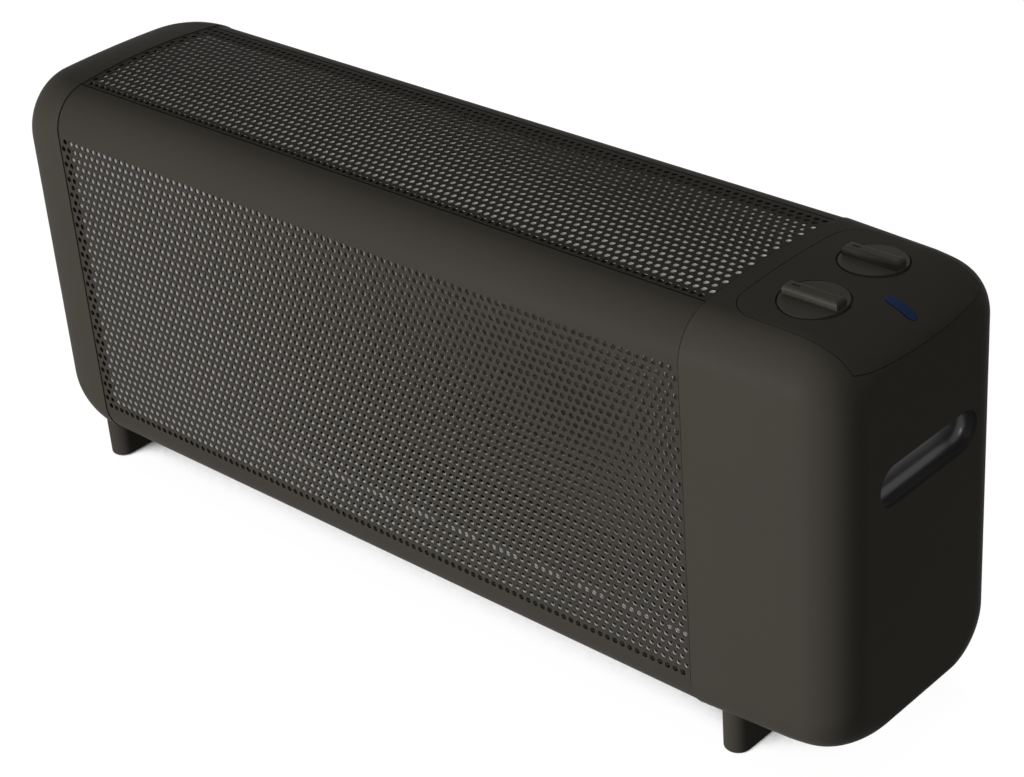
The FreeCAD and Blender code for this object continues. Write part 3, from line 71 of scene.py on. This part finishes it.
def ramp(material, source, low, high, target):
    """Turns noise into a colour or a number between two ends and feeds it to a socket."""
    tree = material.node_tree
    if isinstance(low, tuple):
        blend = tree.nodes.new("ShaderNodeMix")
        blend.data_type = "RGBA"
        blend.inputs["A"].default_value = (*low, 1.0)
        blend.inputs["B"].default_value = (*high, 1.0)
        tree.links.new(source, blend.inputs["Factor"])
        tree.links.new(blend.outputs["Result"], target)
        return
    spread = tree.nodes.new("ShaderNodeMapRange")
    spread.inputs["From Min"].default_value = 0.3
    spread.inputs["From Max"].default_value = 0.7
    spread.inputs["To Min"].default_value = low
    spread.inputs["To Max"].default_value = high
    tree.links.new(source, spread.inputs["Value"])
    tree.links.new(spread.outputs["Result"], target)


def relief(material, source, depth, strength):
    """Fine surface relief from noise; depth is in metres."""
    tree = material.node_tree
    bump = tree.nodes.new("ShaderNodeBump")
    bump.inputs["Distance"].default_value = depth
    bump.inputs["Strength"].default_value = strength
    tree.links.new(source, bump.inputs["Height"])
    tree.links.new(bump.outputs["Normal"], tree.nodes["Principled BSDF"].inputs["Normal"])


def tone(colour, share):
    """Colour made lighter or darker by a share."""
    return tuple(channel*share for channel in colour)


def dress(material, *nodes):
    """Puts a finish on CAD nodes."""
    for node in nodes:
        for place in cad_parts[node].material_slots:
            place.material = material


casing_brown_black = (0.0266, 0.0243, 0.0204)
powder_coat, coat_shader = new_shader("casing_powder_coat")
ramp(powder_coat, noise(powder_coat, 9.0), tone(casing_brown_black, 0.94), tone(casing_brown_black, 1.06),
     coat_shader.inputs["Base Color"])
ramp(powder_coat, noise(powder_coat, 120.0), 0.42, 0.48, coat_shader.inputs["Roughness"])
coat_shader.inputs["Specular IOR Level"].default_value = 0.005
relief(powder_coat, noise(powder_coat, 1400.0), 0.00003, 0.4)
dress(powder_coat, "base_plate", "left_bulkhead", "right_bulkhead", "element_rails")

# Heating elements: two mica sandwiches, each a core and a cover sheet with an etched foil between them.
# They slide into the rails, and show only as a dim brown plane through the holes.


def sheet_steel(name, colour, roughness):
    """Bare metal with rolling streaks along the heater."""
    material, shader = new_shader(name)
    shader.inputs["Metallic"].default_value = 1.0
    streaks = noise(material, 260.0, 3.0, (0.06, 1, 1))
    ramp(material, streaks, tone(colour, 0.85), tone(colour, 1.1), shader.inputs["Base Color"])
    ramp(material, streaks, roughness - 0.08, roughness + 0.1, shader.inputs["Roughness"])
    relief(material, streaks, 0.00005, 0.3)
    return material


mica_brown = (0.07, 0.058, 0.045)
mica, mica_shader = new_shader("mica_sheet")
mica_flakes = noise(mica, 140.0, 4.0)
ramp(mica, mica_flakes, tone(mica_brown, 0.75), tone(mica_brown, 1.15), mica_shader.inputs["Base Color"])
ramp(mica, mica_flakes, 0.35, 0.6, mica_shader.inputs["Roughness"])
dress(mica, "front_mica_core", "front_mica_cover", "rear_mica_core", "rear_mica_cover")

foil_grey = (0.16, 0.15, 0.14)
dress(sheet_steel("heater_foil", foil_grey, 0.45), "front_heating_foil", "rear_heating_foil")

# Shafts and small metal parts: two control shafts with their bush nuts, the tip-over pendulum on its pin,
# and the can of the thermal cut-out. All are turned or pressed in galvanised steel, in their CAD shapes.

zinc_grey = (0.3, 0.3, 0.3)
dress(sheet_steel("galvanised_steel", zinc_grey, 0.42), "power_shaft", "thermostat_shaft", "bush_nuts",
      "tilt_pivot_pin", "tilt_pendulum", "thermal_cutout")

# Switchgear: power switch, thermostat, tip-over box with its microswitch, and terminal block. Their bodies
# are moulded in a pale plastic, and the right end cap closes them in.

block_white = (0.6, 0.58, 0.52)
electric, electric_shader = new_shader("electric_plastic")
ramp(electric, noise(electric, 30.0), tone(block_white, 0.92), tone(block_white, 1.05),
     electric_shader.inputs["Base Color"])
electric_shader.inputs["Roughness"].default_value = 0.55
relief(electric, noise(electric, 1800.0), 0.00004, 0.3)
dress(electric, "power_switch", "thermostat", "tilt_housing", "tilt_microswitch", "terminal_block")

# Pilot lamp: a small bulb of clear, slightly warm glass. It sits in the right end cap, right under the lens
# in the control panel.

bulb_clear = (0.9, 0.8, 0.7, 1.0)
lamp_glass, lamp_shader = new_shader("lamp_glass")
lamp_shader.inputs["Base Color"].default_value = bulb_clear
lamp_shader.inputs["Transmission Weight"].default_value = 0.9
ramp(lamp_glass, noise(lamp_glass, 200.0), 0.08, 0.2, lamp_shader.inputs["Roughness"])
dress(lamp_glass, "pilot_lamp")

# Front and rear guards: thin grey-painted steel with staggered round holes, held between the bulkheads a
# little behind the outer panels. Seen through the panels' holes they give the casing its pale dots.

FIELD_X = -0.027
HOLE_SIDES = 8
HAIR = 0.00001


def copied(mesh, faces, shift):
    """Copy of some faces, moved."""
    made = bmesh.ops.duplicate(mesh, geom=faces)["geom"]
    corners = [item for item in made if isinstance(item, bmesh.types.BMVert)]
    bmesh.ops.translate(mesh, vec=shift, verts=corners)


def stretched(mesh, edges, shift):
    """Sheet carried on from a row of edges by a straight shift; returns the new row of edges."""
    made = bmesh.ops.extrude_edge_only(mesh, edges=edges)["geom"]
    corners = [item for item in made if isinstance(item, bmesh.types.BMVert)]
    bmesh.ops.translate(mesh, vec=shift, verts=corners)
    return [item for item in made if isinstance(item, bmesh.types.BMEdge) and item.is_boundary
            and not item.is_wire]


def perforated_field(columns, rows, pitch, row_pitch, diameter):
    """Flat field of staggered holes on XY; every second row has one hole more than the first."""
    merge = pitch*0.001
    mesh = bmesh.new()
    bmesh.ops.create_circle(mesh, cap_ends=False, segments=HOLE_SIDES, radius=diameter/2)
    rim = bmesh.ops.create_circle(mesh, cap_ends=False, segments=HOLE_SIDES, radius=1.0)["verts"]
    for corner in rim:
        corner.co.x = round(corner.co.x)*pitch/2
        corner.co.y = round(corner.co.y)*row_pitch/2
    bmesh.ops.bridge_loops(mesh, edges=mesh.edges[:])
    cell = mesh.faces[:]
    start = Vector((-(columns - 1)/2*pitch, -(rows - 1)/2*row_pitch, 0))
    bmesh.ops.translate(mesh, vec=start, verts=mesh.verts)
    for i in range(1, columns):
        copied(mesh, cell, Vector((i*pitch, 0, 0)))
    copied(mesh, mesh.faces[:], Vector((-pitch/2, row_pitch, 0)))
    copied(mesh, cell, Vector(((columns - 0.5)*pitch, row_pitch, 0)))
    bmesh.ops.remove_doubles(mesh, verts=mesh.verts, dist=merge)
    for side in (-1, 1):
        ends = [edge for edge in mesh.edges if edge.is_boundary
                and all(abs(vert.co.x - side*columns/2*pitch) < 10*merge for vert in edge.verts)
                and all(vert.co.y < start.y + row_pitch/2 + 10*merge for vert in edge.verts)]
        stretched(mesh, ends, Vector((side*pitch/2, 0, 0)))
    bmesh.ops.remove_doubles(mesh, verts=mesh.verts, dist=merge)
    pair = mesh.faces[:]
    for j in range(1, rows//2):
        copied(mesh, pair, Vector((0, 2*j*row_pitch, 0)))
    if rows % 2:
        first_row = [face for face in pair if face.calc_center_median().y < start.y + row_pitch/2]
        copied(mesh, first_row, Vector((0, (rows - 1)*row_pitch, 0)))
    bmesh.ops.remove_doubles(mesh, verts=mesh.verts, dist=merge)
    return mesh


def rim_edges(mesh, axis, high):
    """Boundary edges along one side of a flat sheet."""
    levels = [vert.co[axis] for vert in mesh.verts]
    level = max(levels) if high else min(levels)
    return [edge for edge in mesh.edges if edge.is_boundary
            and all(abs(vert.co[axis] - level) < HAIR for vert in edge.verts)]


def widened(mesh, axis, low, high):
    """Flat sheet carried on past its field to two levels along an axis."""
    for level, is_high in ((low, False), (high, True)):
        edges = rim_edges(mesh, axis, is_high)
        shift = Vector((0, 0, 0))
        shift[axis] = level - edges[0].verts[0].co[axis]
        stretched(mesh, edges, shift)


def upright(mesh, level):
    """Stands a flat sheet up, facing along the heater's depth, at a level of Y."""
    bmesh.ops.rotate(mesh, cent=(0, 0, 0), matrix=Matrix.Rotation(math.pi/2, 3, "X"), verts=mesh.verts)
    bmesh.ops.translate(mesh, vec=(0, level, 0), verts=mesh.verts)


def facing(mesh, outward):
    """Turns a sheet's faces so that most of them look outwards."""
    mesh.normal_update()
    total = sum((face.normal*face.calc_area() for face in mesh.faces), Vector())
    if total.dot(outward) < 0:
        bmesh.ops.reverse_faces(mesh, faces=mesh.faces)


def sheet_piece(name, mesh, gauge, material):
    """Sheet from a bmesh of its outer face, in place of a CAD node, with its thickness put on behind."""
    data = bpy.data.meshes.new(f"{name}_sheet")
    mesh.to_mesh(data)
    mesh.free()
    data.materials.append(material)
    data.shade_smooth()
    piece = bpy.data.objects.new(f"{name}_sheet", data)
    bpy.context.scene.collection.objects.link(piece)
    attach(piece, "casing")
    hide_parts(name)
    solid = piece.modifiers.new("gauge", "SOLIDIFY")
    solid.thickness = gauge
    solid.offset = -1.0
    solid.use_even_offset = True
    crisp = piece.modifiers.new("crisp_edges", "EDGE_SPLIT")
    crisp.split_angle = math.radians(35.0)


def sheet_paint(name, colour):
    """Matt paint on a guard sheet, a little uneven."""
    material, shader = new_shader(name)
    ramp(material, noise(material, 25.0), tone(colour, 0.93), tone(colour, 1.07),
         shader.inputs["Base Color"])
    shader.inputs["Roughness"].default_value = 0.55
    relief(material, noise(material, 900.0), 0.00004, 0.3)
    return material


guard_grey = (0.142, 0.14, 0.145)
guard_paint = sheet_paint("guard_paint", guard_grey)

GUARD_PITCH, GUARD_ROW, GUARD_HOLE = 0.0055743, 0.0054077, 0.0036
GUARD_COLUMNS, FRONT_GUARD_ROWS, REAR_GUARD_ROWS = 88, 37, 31
GUARD_SHIFT, GUARD_FIRST_ROW = 0.00081, 0.05392
GUARD_GAUGE, GUARD_LAP = 0.0006, 0.006


def upright_guard(name, side, rows):
    """Guard behind the front (side -1) or rear (side 1) panel."""
    low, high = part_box(name)
    mesh = perforated_field(GUARD_COLUMNS, rows, GUARD_PITCH, GUARD_ROW, GUARD_HOLE)
    middle = GUARD_FIRST_ROW + (rows - 1)/2*GUARD_ROW
    bmesh.ops.translate(mesh, vec=(FIELD_X + GUARD_SHIFT, middle, 0), verts=mesh.verts)
    widened(mesh, 0, low.x, high.x)
    widened(mesh, 1, low.z - GUARD_LAP, high.z + GUARD_LAP)
    upright(mesh, low.y if side < 0 else high.y)
    facing(mesh, Vector((0, side, 0)))
    sheet_piece(name, mesh, GUARD_GAUGE, guard_paint)


upright_guard("front_guard", -1, FRONT_GUARD_ROWS)
upright_guard("rear_guard", 1, REAR_GUARD_ROWS)

# Top guard: a sheet with the same holes as the other guards, held between the bulkheads. Its paint is far
# paler than theirs, painted light that makes its dots as bright as the front's under the dimmer light from
# above. It is bent to the arch of the top grille and lies a little below it, so that pale dots show there
# too.

CASING_HALF, ROLL_RADIUS = 0.0805, 0.027
TOP_LEAN = math.radians(7.0)
GRILLE_HALF = CASING_HALF - ROLL_RADIUS*(1.0 - math.sin(TOP_LEAN))
GRILLE_BEND = GRILLE_HALF/math.sin(TOP_LEAN)
GRILLE_EDGE, SHEET_GAUGE = 0.0013, 0.0005
TOP_GUARD_ROWS, TOP_GUARD_GAP = 20, 0.0025


def arched(mesh, crown):
    """Bends a flat sheet to the arch of the top, with its middle at a level."""
    for corner in mesh.verts:
        corner.co.z += crown - GRILLE_BEND + math.sqrt(GRILLE_BEND**2 - corner.co.y**2)


# Painted light: this paint is much paler than the other guards' so that the dots under the grille come out
# bright.
top_guard_painted_light_white = (0.82, 0.81, 0.8)
top_guard_lightened_paint = sheet_paint("top_guard_lightened_paint", top_guard_painted_light_white)
guard_low, guard_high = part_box("top_guard")
grille_low, grille_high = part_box("top_grille")
top_guard = perforated_field(GUARD_COLUMNS, TOP_GUARD_ROWS, GUARD_PITCH, GUARD_ROW, GUARD_HOLE)
bmesh.ops.translate(top_guard, vec=(FIELD_X, 0, 0), verts=top_guard.verts)
widened(top_guard, 0, guard_low.x, guard_high.x)
widened(top_guard, 1, grille_low.y + GRILLE_EDGE, grille_high.y - GRILLE_EDGE)
arched(top_guard, grille_high.z - SHEET_GAUGE - TOP_GUARD_GAP)
facing(top_guard, Vector((0, 0, 1)))
sheet_piece("top_guard", top_guard, GUARD_GAUGE, top_guard_lightened_paint)

# Front and rear panels: perforated sheet steel with the chassis's powder coat, rolled over at the top and
# bottom to narrow stepped lips. They close on the bulkheads, and the end caps cover their ends.

HOLE_PITCH, HOLE_ROW, HOLE_SIZE = 0.0055, 0.00543, 0.0038
PANEL_COLUMNS, PANEL_ROWS = 91, 37
FIELD_Z = 0.1555
CASING_LOW, CASING_HIGH = 0.028, 0.283
ROLL_STEPS = 10
LIP_WIDTH, TOP_LIP_STEP, BASE_LIP_STEP = 0.008, 0.0014, 0.0009
SEAM_GAP = 0.0003


def trimmed(mesh, low, high):
    """Cuts a flat sheet to length, just short of the end caps."""
    for level, way in ((low + SEAM_GAP, -1), (high - SEAM_GAP, 1)):
        bmesh.ops.bisect_plane(mesh, geom=mesh.verts[:] + mesh.edges[:] + mesh.faces[:], dist=HAIR/10,
                               plane_co=(level, 0, 0), plane_no=(way, 0, 0), clear_outer=True)


def casing_panel(name, side):
    """Panel for the front (side -1) or rear (side 1): flat field, rolled edges, stepped lips."""
    low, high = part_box(name)
    roll_low, roll_high = CASING_LOW + ROLL_RADIUS, CASING_HIGH - ROLL_RADIUS
    mesh = perforated_field(PANEL_COLUMNS, PANEL_ROWS, HOLE_PITCH, HOLE_ROW, HOLE_SIZE)
    bmesh.ops.translate(mesh, vec=(FIELD_X, FIELD_Z, 0), verts=mesh.verts)
    trimmed(mesh, low.x, high.x)
    widened(mesh, 1, roll_low, roll_high)
    upright(mesh, -CASING_HALF)
    for is_high, level, turn, step in ((True, roll_high, -1, TOP_LIP_STEP),
                                       (False, roll_low, 1, BASE_LIP_STEP)):
        rolled = bmesh.ops.spin(mesh, geom=rim_edges(mesh, 2, is_high), axis=(1, 0, 0),
                                cent=(0, ROLL_RADIUS - CASING_HALF, level), steps=ROLL_STEPS,
                                angle=turn*(math.pi/2 - TOP_LEAN), use_merge=False)["geom_last"]
        edges = [item for item in rolled if isinstance(item, bmesh.types.BMEdge)]
        edges = stretched(mesh, edges, Vector((0, 0, turn*step)))
        edges = [edge for edge in edges if abs(edge.verts[0].co.z - edge.verts[1].co.z) < HAIR
                 and abs(edge.verts[0].co.x - edge.verts[1].co.x) > HAIR]
        stretched(mesh, edges, Vector((0, LIP_WIDTH, 0)))
    if side > 0:
        bmesh.ops.scale(mesh, vec=(1, -1, 1), verts=mesh.verts)
    facing(mesh, Vector((0, side, 0)))
    sheet_piece(name, mesh, SHEET_GAUGE, powder_coat)


casing_panel("front_panel", -1)
casing_panel("rear_panel", 1)

# Top grille: a strip of the panels' perforated steel, bent to a slight arch, its long edges folded down.
# It is powder coated too, and lies on the panels' upper lips between the end caps.

GRILLE_ROWS, GRILLE_ROW, GRILLE_SHIFT = 20, 0.00544, -0.0008
grille = perforated_field(PANEL_COLUMNS, GRILLE_ROWS, HOLE_PITCH, GRILLE_ROW, HOLE_SIZE)
bmesh.ops.translate(grille, vec=(FIELD_X, GRILLE_SHIFT, 0), verts=grille.verts)
trimmed(grille, grille_low.x, grille_high.x)
widened(grille, 1, grille_low.y, grille_high.y)
for is_high in (False, True):
    stretched(grille, rim_edges(grille, 1, is_high), Vector((0, 0, -GRILLE_EDGE)))
arched(grille, grille_high.z)
facing(grille, Vector((0, 0, 1)))
sheet_piece("top_grille", grille, SHEET_GAUGE, powder_coat)

# End caps, control panel and foot bars: dark brown-black plastic mouldings with a fine satin grain. The caps
# close the casing's ends, the panel is let into the right cap's top, and the bars are screwed on from below.

cap_brown_black = (0.0298, 0.0272, 0.0226)
cap_plastic, cap_shader = new_shader("cap_plastic")
ramp(cap_plastic, noise(cap_plastic, 7.0), tone(cap_brown_black, 0.95), tone(cap_brown_black, 1.05),
     cap_shader.inputs["Base Color"])
ramp(cap_plastic, noise(cap_plastic, 300.0), 0.42, 0.48, cap_shader.inputs["Roughness"])
cap_shader.inputs["Specular IOR Level"].default_value = 0.005
relief(cap_plastic, noise(cap_plastic, 1900.0), 0.00003, 0.35)
dress(cap_plastic, "left_end_cap", "right_end_cap", "control_panel", "left_foot", "right_foot")

# Hand cups: rounded pockets behind the openings in the two end walls, for lifting the heater. They are
# moulded in a glossier dark grey plastic and fixed inside the caps.

cup_grey = (0.02, 0.02, 0.021)
cup_plastic, cup_shader = new_shader("cup_plastic")
ramp(cup_plastic, noise(cup_plastic, 20.0), tone(cup_grey, 0.9), tone(cup_grey, 1.1),
     cup_shader.inputs["Base Color"])
cup_shader.inputs["Roughness"].default_value = 0.36
cup_shader.inputs["Specular IOR Level"].default_value = 0.5
relief(cup_plastic, noise(cup_plastic, 1900.0), 0.00003, 0.35)
dress(cup_plastic, "left_hand_cup", "right_hand_cup")

# Knobs: flat discs with a straight grip bar across them, moulded in the same dark brown-black plastic.
# They are pushed onto the shafts of the power switch and the thermostat, and turn with them.

knob_black = (0.03, 0.0274, 0.0228)
knob_plastic, knob_shader = new_shader("knob_plastic")
ramp(knob_plastic, noise(knob_plastic, 40.0), tone(knob_black, 0.9), tone(knob_black, 1.1),
     knob_shader.inputs["Base Color"])
knob_shader.inputs["Roughness"].default_value = 0.45
knob_shader.inputs["Specular IOR Level"].default_value = 0.03
relief(knob_plastic, noise(knob_plastic, 1600.0), 0.00002, 0.3)
dress(knob_plastic, "power_knob", "thermostat_knob")

# Pilot lens: a small moulding in dark blue plastic with a smooth face, let into the control panel over
# the lamp.

lens_blue = (0.002, 0.012, 0.045)
lens_plastic, lens_shader = new_shader("pilot_lens_plastic")
ramp(lens_plastic, noise(lens_plastic, 300.0), tone(lens_blue, 0.8), tone(lens_blue, 1.2),
     lens_shader.inputs["Base Color"])
lens_shader.inputs["Roughness"].default_value = 0.2
lens_shader.inputs["Specular IOR Level"].default_value = 0.05
dress(lens_plastic, "pilot_lens")

# Rubber pieces: pads under the foot bars, the gland for the cord at the back of the right cap, and
# the covering of the inner leads. All are moulded or drawn in matt black rubber.

rubber_black = (0.016, 0.016, 0.016)
rubber, rubber_shader = new_shader("black_rubber")
ramp(rubber, noise(rubber, 60.0), tone(rubber_black, 0.85), tone(rubber_black, 1.15),
     rubber_shader.inputs["Base Color"])
rubber_shader.inputs["Roughness"].default_value = 0.75
relief(rubber, noise(rubber, 800.0), 0.00005, 0.4)
dress(rubber, "foot_pads", "cord_gland", "wiring_leads")

# Screws: turned steel, chemically blackened. They hold the caps, foot bars, rear panel, base plate and
# control panel.

screw_black = (0.1, 0.1, 0.1)
dress(sheet_steel("blackened_steel", screw_black, 0.45), "left_cap_screws", "right_cap_screws",
      "foot_screws", "rear_panel_screws", "base_plate_screws", "control_panel_screws")

# Floor: a wide pale sheet that the camera sees as white. Under the heater, where little is open above it, an
# ambient-occlusion mask dims its white glow: painted shade. The lamps also cast the heater's soft shadow on
# it.

FLOOR_REACH = 6.0
floor_mesh = bmesh.new()
bmesh.ops.create_grid(floor_mesh, x_segments=1, y_segments=1, size=FLOOR_REACH)
floor_data = bpy.data.meshes.new("floor")
floor_mesh.to_mesh(floor_data)
floor_mesh.free()
floor = bpy.data.objects.new("floor", floor_data)
bpy.context.scene.collection.objects.link(floor)


def white_to_camera(tree, lit, white, output):
    """White for what the camera sees straight or in gloss and glass; a lit surface for other light."""
    path = tree.nodes.new("ShaderNodeLightPath")
    either = tree.nodes.new("ShaderNodeMath")
    either.operation = "MAXIMUM"
    seen = tree.nodes.new("ShaderNodeMath")
    seen.operation = "MAXIMUM"
    tree.links.new(path.outputs["Is Camera Ray"], either.inputs[0])
    tree.links.new(path.outputs["Is Glossy Ray"], either.inputs[1])
    tree.links.new(either.outputs[0], seen.inputs[0])
    tree.links.new(path.outputs["Is Transmission Ray"], seen.inputs[1])
    mix = tree.nodes.new("ShaderNodeMixShader")
    tree.links.new(seen.outputs[0], mix.inputs[0])
    tree.links.new(lit.outputs[0], mix.inputs[1])
    tree.links.new(white.outputs[0], mix.inputs[2])
    tree.links.new(mix.outputs[0], output)


floor_pale = (0.35, 0.35, 0.35, 1.0)
shadow_grey = (0.15, 0.15, 0.15, 1.0)
floor_material = bpy.data.materials.new("pale_floor")
floor_material.use_nodes = True
floor_tree = floor_material.node_tree
floor_tree.nodes.clear()
floor_out = floor_tree.nodes.new("ShaderNodeOutputMaterial")
floor_lit = floor_tree.nodes.new("ShaderNodeBsdfDiffuse")
floor_lit.inputs["Color"].default_value = floor_pale
# Painted shade: ambient occlusion darkens the floor's white glow under the heater.
floor_shade_occlusion = floor_tree.nodes.new("ShaderNodeAmbientOcclusion")
floor_shade_occlusion.samples = 24
floor_shade_occlusion.inputs["Distance"].default_value = 0.5
floor_painted_shade_range = floor_tree.nodes.new("ShaderNodeMapRange")
floor_painted_shade_range.inputs["From Min"].default_value = 0.09
floor_painted_shade_range.inputs["From Max"].default_value = 0.17
floor_painted_shade_range.inputs["To Min"].default_value = 0.03
floor_painted_shade_range.inputs["To Max"].default_value = 0.94
floor_glow_and_painted_shade = floor_tree.nodes.new("ShaderNodeEmission")
floor_tree.links.new(floor_shade_occlusion.outputs["AO"], floor_painted_shade_range.inputs["Value"])
floor_tree.links.new(floor_painted_shade_range.outputs["Result"], floor_glow_and_painted_shade.inputs["Strength"])
floor_shadow = floor_tree.nodes.new("ShaderNodeBsdfDiffuse")
floor_shadow.inputs["Color"].default_value = shadow_grey
floor_sum = floor_tree.nodes.new("ShaderNodeAddShader")
floor_tree.links.new(floor_glow_and_painted_shade.outputs[0], floor_sum.inputs[0])
floor_tree.links.new(floor_shadow.outputs[0], floor_sum.inputs[1])
white_to_camera(floor_tree, floor_lit, floor_sum, floor_out.inputs["Surface"])
floor_data.materials.append(floor_material)

# Surroundings and lamps: white walls to the camera and a dim sky to the heater. A low, wide softbox in front
# gives the main light, another hangs overhead, and a small one by the camera lights the guards.

SKY_LIGHT = 0.14
world = bpy.data.worlds.new("studio")
bpy.context.scene.world = world
world.use_nodes = True
sky_tree = world.node_tree
sky_tree.nodes.clear()
sky_out = sky_tree.nodes.new("ShaderNodeOutputWorld")
sky_dim = sky_tree.nodes.new("ShaderNodeBackground")
sky_dim.inputs["Strength"].default_value = SKY_LIGHT
sky_white = sky_tree.nodes.new("ShaderNodeBackground")
sky_white.inputs["Color"].default_value = (1.0, 1.0, 1.0, 1.0)
white_to_camera(sky_tree, sky_dim, sky_white, sky_out.inputs["Surface"])


def soft_light(name, place, aim, width, height, power):
    """Area light that looks from a place to a point."""
    data = bpy.data.lights.new(name, "AREA")
    data.shape = "RECTANGLE"
    data.size = width
    data.size_y = height
    data.energy = power
    lamp = bpy.data.objects.new(name, data)
    lamp.location = place
    lamp.rotation_euler = (Vector(aim) - Vector(place)).to_track_quat("-Z", "Y").to_euler()
    bpy.context.scene.collection.objects.link(lamp)


soft_light("front_key", (-0.45, -1.68, 0.15), (2.0, -0.08, 0.15), 0.9, 0.3, 66.0)
soft_light("overhead", (0, 0, 3.0), (0, 0, 0), 2.0, 2.0, 30.0)
soft_light("camera_fill", (1.9, -1.9, 1.65), (0, 0, 0.15), 0.5, 0.5, 24.0)

# Camera: at the photograph's place and angle, in front of the right end and above it. Its turn is in degrees
# about X, Y and Z, and its lens in millimetres.

CAMERA_PLACE = (0.938147, -0.925754, 0.893362)
CAMERA_TURN = (59.6638, 3.9896, 42.2342)
CAMERA_LENS, CAMERA_SENSOR = 87.1756, 36.0
camera_data = bpy.data.cameras.new("photo_camera")
camera_data.sensor_fit = "HORIZONTAL"
camera_data.sensor_width = CAMERA_SENSOR
camera_data.lens = CAMERA_LENS
camera_data.clip_end = 50.0
camera = bpy.data.objects.new("photo_camera", camera_data)
camera.location = CAMERA_PLACE
camera.rotation_euler = [math.radians(angle) for angle in CAMERA_TURN]
bpy.context.scene.collection.objects.link(camera)
bpy.context.scene.camera = camera
bpy.context.scene.view_settings.view_transform = "Standard"
